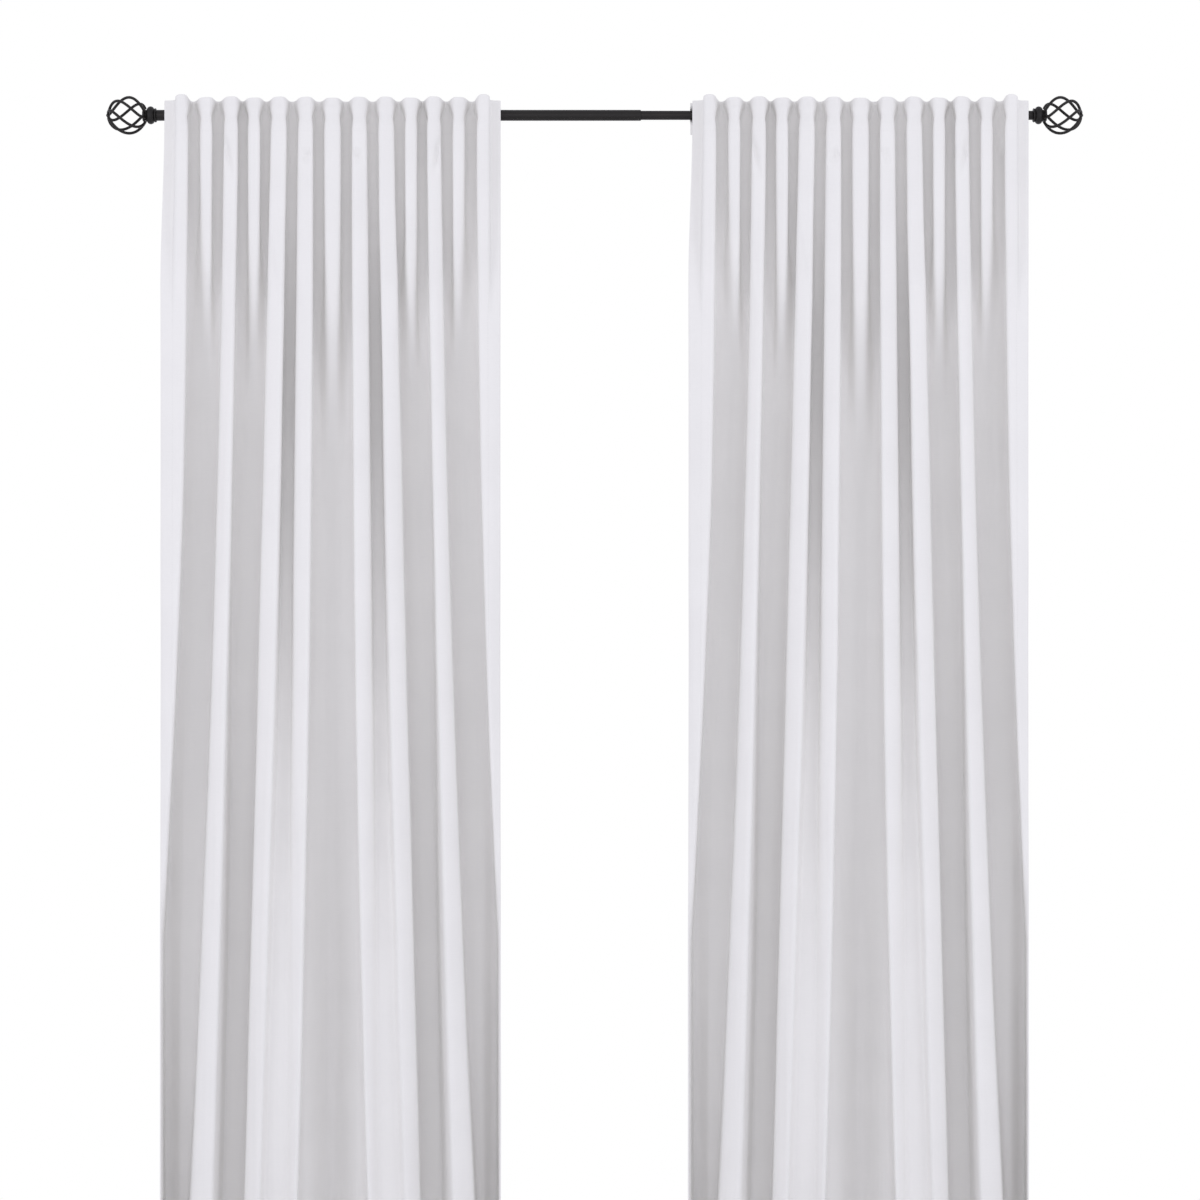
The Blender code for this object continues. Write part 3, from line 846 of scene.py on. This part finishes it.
class CURTAINS_OT_stage(bpy.types.Operator):
    """Make the floor, the soft light and the camera"""

    bl_idname = "curtains.stage"
    bl_label = "Stage"

    def execute(self, context):
        stage = context.scene.curtain_stage
        eye_x, eye_z, distance = view_of(stage)
        self.floor(context, eye_x)
        self.room(context, stage)
        self.softbox("front_softbox", (eye_x, -7.0, -0.4), (5.0, 5.0), stage.front_light)
        self.softbox("back_softbox", (eye_x, 5.0, 0.4), (4.0, 4.0), stage.front_light)
        for side, sign in SIDES.items():
            self.softbox(side + "_softbox", (eye_x + sign * 4.2, -3.6, -0.3), (3.0, 4.0), stage.side_light)
        camera = bpy.data.cameras.new("camera")
        camera.sensor_width = 36.0
        camera.lens = camera.sensor_width * distance / stage.view_width
        obj = new_object("camera", camera)
        obj.location = (eye_x, ROD_Y - distance, eye_z)
        obj.rotation_euler = (math.radians(90), 0, 0)
        context.scene.camera = obj
        context.scene.view_settings.view_transform = "Standard"
        return {"FINISHED"}

    def floor(self, context, eye_x):
        """A pale floor just under the hems; its far edge stays below the straight-on view."""
        bm = bmesh.new()
        bmesh.ops.create_grid(bm, x_segments=8, y_segments=8, size=0.5)
        bmesh.ops.scale(bm, vec=(5.0, 3.2, 1.0), verts=bm.verts)
        bmesh.ops.translate(bm, vec=(eye_x, -1.05, HEM - 0.012), verts=bm.verts)
        mesh = mesh_from_bmesh("floor", bm)
        obj = new_object("floor", mesh)
        mesh.materials.append(finish_of(context.scene, "matte_floor"))
        obj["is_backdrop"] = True

    def room(self, context, stage):
        """White all round to the eye, and a weaker even light on the object."""
        world = bpy.data.worlds.new("studio")
        world.use_nodes = True
        context.scene.world = world
        tree = world.node_tree
        background = tree.nodes["Background"]
        path = add_node(tree, "ShaderNodeLightPath")
        to_camera = path.outputs["Is Camera Ray"]
        cool = two_colours(tree, to_camera, ROOM_COLOUR, (1.0, 1.0, 1.0))
        tree.links.new(cool, background.inputs["Color"])
        tree.links.new(ranged(tree, to_camera, stage.room_light, 1.0), background.inputs["Strength"])

    def softbox(self, name, place, size, power):
        light = bpy.data.lights.new(name, "AREA")
        light.shape = "RECTANGLE"
        light.size, light.size_y = size
        light.energy = power
        light.color = SOFTBOX_COLOUR
        obj = new_object(name, light)
        obj.location = place
        aim = Vector((ROD_MIDDLE, ROD_Y, AIM_HEIGHT)) - Vector(place)
        obj.rotation_euler = aim.to_track_quat("-Z", "Y").to_euler()
        obj.visible_camera = False


class CURTAINS_OT_rod(bpy.types.Operator):
    """Make the two tubes of the rod and finish their end plugs"""

    bl_idname = "curtains.rod"
    bl_label = "Rod"

    def execute(self, context):
        wall = context.scene.curtain_rod.tube_wall
        for name, node, body, radius in (
            ("rod_outer_tube", "outer_tube", "outer_rod", OUTER_RADIUS),
            ("rod_inner_tube", "inner_tube", "inner_rod", INNER_RADIUS),
        ):
            low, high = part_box(node)
            span = high.x - low.x
            rim = wall * 0.4
            profile = [
                (radius - wall, rim),
                *arc((radius - wall + rim, rim), rim, 180, 270, 3),
                *arc((radius - rim, rim), rim, 270, 360, 3),
                *arc((radius - rim, span - rim), rim, 0, 90, 3),
                *arc((radius - wall + rim, span - rim), rim, 90, 180, 3),
                (radius - wall, rim),
            ]
            mesh = lathe(name, profile)
            mesh.transform(outward_matrix(low.x, 1))
            obj = new_object(name, mesh, body)
            dress(context, obj, "painted_bronze", node)
        for side in SIDES:
            dress(context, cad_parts[side + "_end_plug"], "plated_zinc")
        return {"FINISHED"}


class CURTAINS_OT_finials(bpy.types.Operator):
    """Make both wire ball finials"""

    bl_idname = "curtains.finials"
    bl_label = "Finials"

    def execute(self, context):
        sizes = context.scene.curtain_rod
        for side, sign in SIDES.items():
            low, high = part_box(side + "_finial_collar")
            start = high.x if sign < 0 else low.x
            collar = self.collar(side, start, sign, sizes, high.x - low.x)
            dress(context, collar, "painted_bronze", side + "_finial_collar")
            for number in range(sizes.wire_count):
                node = f"{side}_finial_wire_{number + 1}"
                wire = self.wire(f"{side}_cage_strand_{number + 1}", side, start, sign, number, sizes)
                dress(context, wire, "painted_bronze", node)
            tip = self.tip(side, start, sign)
            dress(context, tip, "painted_bronze", side + "_finial_tip")
        return {"FINISHED"}

    def collar(self, side, start, sign, sizes, span):
        """A bead, the ring knob, a turned groove, the neck and the ring that the wires leave."""
        knob, neck, cup = sizes.knob_radius, sizes.neck_radius, sizes.cup_radius
        bead = 0.0017
        swell = [
            (neck + (knob - neck) * r, 0.0101 + 0.0064 * a) for r, a in arc((0.0, 0.0), 1.0, -78, 78, 18)
        ]
        profile = [
            (0.0033, 0.0),
            *arc((0.0123 - bead, bead), bead, 270, 400, 8),
            (0.0110, 0.0036),
            *swell,
            (neck - 0.0005, 0.0168),
            *arc((neck - 0.0004, 0.0177), 0.0007, -80, 80, 5),
            (neck - 0.0003, 0.0190),
            (cup - 0.0012, 0.0200),
            *arc((cup - 0.0012, 0.0214), 0.0012, -70, 80, 7),
            (neck + 0.0004, 0.0240),
            (neck - 0.0006, span - 0.0010),
            (neck - 0.0026, span),
            (0.0, span),
        ]
        mesh = lathe(side + "_ring_knob", profile, segments=80, sharp_angle=50)
        mesh.transform(outward_matrix(start, sign))
        return new_object(side + "_ring_knob", mesh, side + "_finial")

    def wire(self, name, side, start, sign, number, sizes):
        """One round strand, twisting from the cup over the cage's widest ring to the tip."""
        longer = 0.0023  # by which the cage's half length is more than its radius
        off_neck, off_tip = 0.0021, 0.0006  # from the strand's middle to what it ends on
        tip_low, tip_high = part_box(side + "_finial_tip")
        boxes = [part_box(f"{side}_finial_wire_{k + 1}") for k in range(sizes.wire_count)]
        widest = max(high.z for _, high in boxes) - ROD_Z - sizes.wire_radius
        far = max(abs(x - start) for low, high in boxes for x in (low.x, high.x))
        hub = (tip_high.z - tip_low.z) / 2
        reach = widest + longer
        centre = far - reach - sizes.wire_radius
        at_neck = math.asin((sizes.neck_radius + off_neck) / widest)
        at_tip = math.pi - math.asin((hub + off_tip) / widest)
        curve = bpy.data.curves.new(name, "CURVE")
        curve.dimensions = "3D"
        curve.bevel_depth = sizes.wire_radius
        curve.bevel_resolution = 6
        curve.use_fill_caps = True
        points = 48
        spline = curve.splines.new("POLY")
        spline.points.add(points - 1)
        for i, point in enumerate(spline.points):
            part = i / (points - 1)
            polar = mix(at_neck, at_tip, part)
            turn = sizes.wire_start + 2 * math.pi * number / sizes.wire_count
            turn += sizes.wire_twist * (0.5 - part)
            radius = widest * math.sin(polar)
            along = centre - reach * math.cos(polar)
            place = (start + sign * along, ROD_Y + radius * math.cos(turn), ROD_Z + radius * math.sin(turn))
            point.co = (*place, 1.0)
        mesh = welded(name, finished_mesh(new_object(name, curve)), 60)
        return new_object(name, mesh, side + "_finial")

    def tip(self, side, start, sign):
        """The domed bead on which the wires end, with a small collar."""
        low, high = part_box(side + "_finial_tip")
        near = min(abs(low.x - start), abs(high.x - start))
        far = max(abs(low.x - start), abs(high.x - start))
        radius = (high.z - low.z) / 2
        flat = (far - near) / radius
        profile = [
            (0.0, near - 0.0012),
            (radius * 0.55, near - 0.0009),
            (radius * 0.9, near),
            *[(r, near + (a * flat)) for r, a in arc((0.0, 0.0), radius, 0, 90, 10)],
        ]
        profile[-1] = (0.0, far)
        mesh = lathe(side + "_cage_tip", profile, segments=48, sharp_angle=60)
        mesh.transform(outward_matrix(start, sign))
        return new_object(side + "_cage_tip", mesh, side + "_finial")


class CURTAINS_OT_brackets(bpy.types.Operator):
    """Make both wall brackets: a plate and an arm with an open cradle"""

    bl_idname = "curtains.brackets"
    bl_label = "Brackets"

    def execute(self, context):
        for side in SIDES:
            plate = self.plate(side)
            dress(context, plate, "painted_bronze", side + "_wall_plate")
            arm = self.arm(side)
            dress(context, arm, "painted_bronze", side + "_bracket_arm")
        return {"FINISHED"}

    def flat_part(self, name, outlines, thickness, bevel):
        """A flat piece with holes, from closed outlines, with its edges rounded."""
        curve = bpy.data.curves.new(name, "CURVE")
        curve.dimensions = "2D"
        curve.fill_mode = "BOTH"
        curve.extrude = thickness / 2 - bevel
        curve.bevel_depth = bevel
        curve.bevel_resolution = 3
        curve.offset = -bevel
        for outline in outlines:
            spline = curve.splines.new("POLY")
            spline.points.add(len(outline) - 1)
            for point, (x, y) in zip(spline.points, outline):
                point.co = (x, y, 0.0, 1.0)
            spline.use_cyclic_u = True
        return welded(name, finished_mesh(new_object(name, curve)), 35)

    def plate(self, side):
        """The wall plate, with its two screw holes and the hole for the arm."""
        low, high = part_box(side + "_wall_plate")
        half_width, half_height = (high.x - low.x) / 2, (high.z - low.z) / 2
        corner = 0.004
        outline = []
        for sx, sz, start in ((1, 1, 0), (-1, 1, 90), (-1, -1, 180), (1, -1, 270)):
            centre = (sx * (half_width - corner), sz * (half_height - corner))
            outline += arc(centre, corner, start, start + 90, 6)
        screws = [box_middle(f"{side}_{place}_screw").z for place in ("upper", "lower")]
        holes = [arc((0.0, z), 0.0023, 360, 0, 24)[:-1] for z in screws]
        mesh = self.flat_part(side + "_plate", [outline, *holes], high.y - low.y, 0.0009)
        upright = Matrix.Rotation(math.radians(90), 4, "X")
        mesh.transform(Matrix.Translation((BRACKET_X[side], (low.y + high.y) / 2, 0)) @ upright)
        return new_object(side + "_plate", mesh, "brackets")

    def arm(self, side):
        """A round bar with a collar at the plate, and the open cradle that the rod lies in."""
        x = BRACKET_X[side]
        plate_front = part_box(side + "_wall_plate")[0].y
        wall, clearance, cradle_width, bar_radius = 0.0035, 0.0003, 0.014, 0.0050
        inside = OUTER_RADIUS + clearance
        outside = inside + wall
        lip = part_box(side + "_bracket_arm")[1].z - ROD_Z
        outline = [
            *arc((0.0, 0.0), inside, 180, 360, 28),
            *arc((inside + wall / 2, lip), wall / 2, 180, 0, 6),
            *arc((0.0, 0.0), outside, 360, 180, 32),
            *arc((-inside - wall / 2, lip), wall / 2, 180, 0, 6),
        ]
        cradle = self.flat_part(side + "_cradle", [outline], cradle_width, 0.0007)
        across = Matrix.Rotation(math.radians(90), 4, "Z") @ Matrix.Rotation(math.radians(90), 4, "X")
        cradle.transform(Matrix.Translation((x, ROD_Y, ROD_Z)) @ across)
        height = ROD_Z - OUTER_RADIUS / 2
        start = ROD_Y + inside + wall * 0.5
        bar = lathe(
            side + "_bar",
            [
                (0.0, 0.0),
                (bar_radius, 0.0),
                (bar_radius, plate_front - start - 0.0105),
                *arc((0.0058, plate_front - start - 0.0090), 0.0012, 250, 180, 4),
                (0.0052, plate_front - start - 0.0055),
                *arc((0.0072, plate_front - start - 0.0018), 0.0015, -90, 90, 8),
                (0.0, plate_front - start - 0.0003),
            ],
            segments=48,
        )
        to_wall = Matrix.Rotation(math.radians(-90), 4, "X")
        bar.transform(Matrix.Translation((x, start, height)) @ to_wall)
        bm = bmesh.new()
        bm.from_mesh(cradle)
        bm.from_mesh(bar)
        mesh = mesh_from_bmesh(side + "_cradle_arm", bm, 35)
        return new_object(side + "_cradle_arm", mesh, "brackets")


class CURTAINS_OT_screws(bpy.types.Operator):
    """Make the wall screws and the lock screws"""

    bl_idname = "curtains.screws"
    bl_label = "Screws"

    def execute(self, context):
        for side in SIDES:
            for place in ("upper", "lower"):
                screw = self.wall_screw(f"{side}_{place}_pan_screw", f"{side}_{place}_screw")
                dress(context, screw, "plated_zinc", f"{side}_{place}_screw")
            lock = self.lock_screw(side)
            dress(context, lock, "painted_bronze", side + "_lock_screw")
        return {"FINISHED"}

    def wall_screw(self, name, node):
        """A pan head with a cross recess on a plain shank."""
        low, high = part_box(node)
        head = (high.x - low.x) / 2
        whole = high.y - low.y
        tall, shank, slot_width, slot_span, slot_depth = 0.0022, 0.0020, 0.0008, 0.0046, 0.0026
        dome = [(r, whole - tall + a * tall / head) for r, a in arc((0.0, 0.0), head, 0, 90, 10)]
        profile = [(0.0, 0.0), (shank, 0.0), (shank, whole - tall), *dome]
        profile[-1] = (0.0, whole)
        mesh = lathe(name, profile, segments=40, sharp_angle=50)
        obj = new_object(name, mesh)
        cutter_bm = bmesh.new()
        for size in ((slot_width, slot_span), (slot_span, slot_width)):
            made = bmesh.ops.create_cube(cutter_bm, size=1.0)["verts"]
            bmesh.ops.scale(cutter_bm, vec=(*size, slot_depth), verts=made)
            bmesh.ops.translate(cutter_bm, vec=(0, 0, whole + 0.0001), verts=made)
        cutter = new_object(name + "_recess", mesh_from_bmesh(name + "_recess", cutter_bm))
        cut = obj.modifiers.new("recess", "BOOLEAN")
        cut.operation = "DIFFERENCE"
        cut.object = cutter
        cut.use_self = True
        finished = finished_mesh(obj)
        finished.shade_smooth()
        finished.set_sharp_from_angle(angle=math.radians(40))
        bpy.data.objects.remove(cutter)
        middle = (low + high) / 2
        finished.transform(
            Matrix.Translation((middle.x, high.y, middle.z)) @ Matrix.Rotation(math.radians(90), 4, "X")
        )
        return new_object(name, finished, "brackets")

    def lock_screw(self, side):
        """A thumbscrew: a knurled head with rounded rims under a threaded shank."""
        low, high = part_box(side + "_lock_screw")
        x, y = (low.x + high.x) / 2, (low.y + high.y) / 2
        head_radius = (high.x - low.x) / 2
        head_top = low.z + 0.0070
        segments = 96
        rows = []
        angles = np.linspace(0.0, 2 * math.pi, segments, endpoint=False)

        def ring(radius, z, knurl=0.0, thread=0.0):
            ripple = knurl * np.abs(np.sin(angles * 12)) + thread * np.abs(
                ((angles / (2 * math.pi) - z / 0.0008) % 1.0) * 2 - 1
            )
            r = radius - ripple
            rows.append(np.stack([x + r * np.cos(angles), y + r * np.sin(angles), np.full(segments, z)], -1))

        rim = 0.0007
        ring(0.0, low.z)
        ring(head_radius - 2 * rim, low.z)
        ring(head_radius - rim * 0.4, low.z + rim * 0.3)
        for z in np.linspace(low.z + rim, head_top - rim, 4):
            ring(head_radius, z, knurl=0.0005)
        ring(head_radius - rim * 0.4, head_top - rim * 0.3)
        ring(head_radius - 2 * rim, head_top)
        for z in np.arange(head_top + 0.0002, high.z - 0.0006, 0.0002):
            ring(0.0020, z, thread=0.0003)
        ring(0.0014, high.z - 0.0002)
        ring(0.0, high.z)
        grid = np.array(rows)
        grid = np.concatenate([grid, grid[:, :1]], axis=1)
        name = side + "_thumb_screw"
        mesh = welded(name, grid_mesh(name, grid), 50, distance=1e-7)
        return new_object(name, mesh, side + "_lock_screw")


class CURTAINS_OT_cloth(bpy.types.Operator):
    """Make the cloth of both panels, with its hems folded back"""

    bl_idname = "curtains.cloth"
    bl_label = "Cloth"

    def execute(self, context):
        sizes = context.scene.curtain_panels
        view = view_of(context.scene.curtain_stage)
        for side in SIDES:
            panel = ClothPanel(sizes, PANEL_MIDDLE[side], view, WRINKLE_SEED)
            CLOTHS[side] = panel
            points, uv = panel.hemmed()
            name = side + "_cloth"
            obj = new_object(name, grid_mesh(name, points, uv))
            dress(
                context,
                obj,
                "woven_cloth",
                side + "_panel_edge",
                *[f"{side}_panel_fold_{k + 1:02d}" for k in range(FOLD_COUNT)],
            )
            follow_folds(obj, side)
            solidify(obj, sizes.thickness)
        return {"FINISHED"}


class CURTAINS_OT_tabs(bpy.types.Operator):
    """Sew the hidden tabs behind both panels, looped round the rod"""

    bl_idname = "curtains.tabs"
    bl_label = "Back tabs"

    def execute(self, context):
        sizes = context.scene.curtain_panels
        for side in SIDES:
            for number, x in enumerate(tab_places(side)):
                obj = self.tab(f"{side}_back_tab_{number + 1:02d}", x, sizes)
                dress(context, obj, "woven_cloth")
                follow_folds(obj, side)
                solidify(obj, sizes.tab_thickness)
        return {"FINISHED"}

    def tab(self, name, x, sizes):
        """A strap sewn on above the rod, passing behind it and sewn on again below."""
        sewn = VALLEY_AT_ROD + 2.1 * sizes.layer_gap
        round_rod = OUTER_RADIUS + 0.0012
        path = [(sewn, 0.0200), (sewn, 0.0175), (sewn + 0.0002, 0.0150), (-0.0062, 0.0126), (-0.0030, 0.0114)]
        path += arc((0.0, 0.0), round_rod, 90, -90, 18)
        path += [(-0.0035, -0.0118), (-0.0066, -0.0146), (sewn, -0.0190), (sewn, -0.0240), (sewn, -0.0360)]
        path = np.array(path)
        along = np.concatenate([[0.0], np.cumsum(np.hypot(*np.diff(path, axis=0).T))])
        even = np.linspace(0.0, along[-1], 56)
        y = soften(np.interp(even, along, path[:, 0]), 1.4)
        z = soften(np.interp(even, along, path[:, 1]), 1.4)
        across = np.linspace(-0.5, 0.5, 7) * sizes.tab_width
        points = np.empty((len(even), len(across), 3))
        points[..., 0] = x + across[None, :]
        points[..., 1] = (ROD_Y + y)[:, None]
        points[..., 2] = (ROD_Z + z)[:, None]
        u, v = np.meshgrid(across, even)
        return new_object(name, grid_mesh(name, points, np.stack([u, v], axis=-1)))


class CURTAINS_OT_stitching(bpy.types.Operator):
    """Sew the hems and the header with rows of stitches"""

    bl_idname = "curtains.stitching"
    bl_label = "Stitching"

    def execute(self, context):
        sizes = context.scene.curtain_panels
        for side in SIDES:
            panel = CLOTHS[side]
            width, bottom = sizes.flat_width, panel.down[-1]
            inset = sizes.side_hem - 0.003
            lines = {
                "hem_stitches": ((inset, bottom - sizes.bottom_hem + 0.004), (width - inset, None)),
                "facing_stitches": ((inset, sizes.facing - 0.004), (width - inset, None)),
                "outer_side_stitches": ((inset, 0.006), (None, bottom - 0.006)),
                "inner_side_stitches": ((width - inset, 0.006), (None, bottom - 0.006)),
            }
            for label, (start, end) in lines.items():
                end = tuple(s if e is None else e for s, e in zip(start, end))
                obj = self.row(f"{side}_{label}", panel, start, end, sizes)
                dress(context, obj, "sewing_thread")
                follow_folds(obj, side)
        return {"FINISHED"}

    def row(self, name, panel, start, end, sizes):
        """A row of stitches along a straight line on the flat cloth, on its front."""
        start, end = np.array(start), np.array(end)
        span = np.linalg.norm(end - start)
        count = int(span / sizes.stitch_pitch)
        first = (np.arange(count) + 0.1) * sizes.stitch_pitch / span
        parts = np.linspace(0.0, 1.0, 5)
        share = first[:, None] + parts[None, :] * sizes.stitch / span
        flat = start + (end - start) * share[..., None]
        points, normals = panel.at(flat[..., 0], flat[..., 1])
        bow = np.sin(np.pi * parts)[None, :, None]
        lift = sizes.thickness / 2 + sizes.thread * mix(-0.6, 0.7, bow)
        points = points + normals * lift
        along = np.gradient(points, axis=1)
        along /= np.linalg.norm(along, axis=2, keepdims=True)
        aside = np.cross(along, normals)
        sides = 6
        thread = sizes.thread * (0.55 + 0.45 * bow)
        rings = []
        for i in range(sides):
            angle = 2 * math.pi * i / sides
            rings.append(points + thread * (math.cos(angle) * aside + math.sin(angle) * normals))
        rings = np.stack(rings, axis=2)  # stitch, part, side
        steps = len(parts)
        verts = rings.reshape(-1, 3)
        ring = np.arange(sides)
        quads = []
        for step in range(steps - 1):
            a = step * sides + ring
            b = step * sides + (ring + 1) % sides
            quads.append(np.stack([a, a + sides, b + sides, b], axis=-1))
        one = np.concatenate(quads)
        base = (np.arange(count) * steps * sides)[:, None, None]
        faces = (one[None] + base).reshape(-1, 4).tolist()
        caps = []
        for k in range(count):
            first_ring = k * steps * sides + ring
            caps.append(first_ring.tolist())
            caps.append((first_ring + (steps - 1) * sides)[::-1].tolist())
        mesh = bpy.data.meshes.new(name)
        mesh.from_pydata(verts.tolist(), [], faces + caps)
        mesh.shade_smooth()
        return new_object(name, mesh)


class CURTAINS_PT_workshop(bpy.types.Panel):
    """Lists the steps that build the curtains"""

    bl_label = "Curtains"
    bl_space_type = "VIEW_3D"
    bl_region_type = "UI"
    bl_category = "Curtains"

    def draw(self, context):
        layout = self.layout
        for step in STEPS:
            layout.operator(step.bl_idname)
        for settings in ("curtain_panels", "curtain_rod", "curtain_stage"):
            box = layout.box()
            group = getattr(context.scene, settings)
            for name in group.__annotations__:
                box.prop(group, name)


STEPS = (
    CURTAINS_OT_stage,
    CURTAINS_OT_rod,
    CURTAINS_OT_finials,
    CURTAINS_OT_brackets,
    CURTAINS_OT_screws,
    CURTAINS_OT_cloth,
    CURTAINS_OT_tabs,
    CURTAINS_OT_stitching,
)
GROUPS = {
    "curtain_panels": CurtainPanelSizes,
    "curtain_rod": CurtainRodSizes,
    "curtain_stage": CurtainStageSettings,
}
CLASSES = (*GROUPS.values(), *STEPS, CURTAINS_PT_workshop)


def register():
    for cls in CLASSES:
        bpy.utils.register_class(cls)
    for name, group in GROUPS.items():
        setattr(bpy.types.Scene, name, PointerProperty(type=group))


def unregister():
    for name in GROUPS:
        delattr(bpy.types.Scene, name)
    for cls in reversed(CLASSES):
        bpy.utils.unregister_class(cls)


def main():
    register()
    bpy.ops.curtains.stage()
    bpy.ops.curtains.rod()
    bpy.ops.curtains.finials()
    bpy.ops.curtains.brackets()
    bpy.ops.curtains.screws()
    bpy.ops.curtains.cloth()
    bpy.ops.curtains.tabs()
    bpy.ops.curtains.stitching()
    bpy.context.view_layer.update()
    boxes = {"cad": CAD_BOUNDS, "visual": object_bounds()}
    {name: [list(corner) for corner in box] for name, box in boxes.items()}


if __name__ == "__main__":
    main()
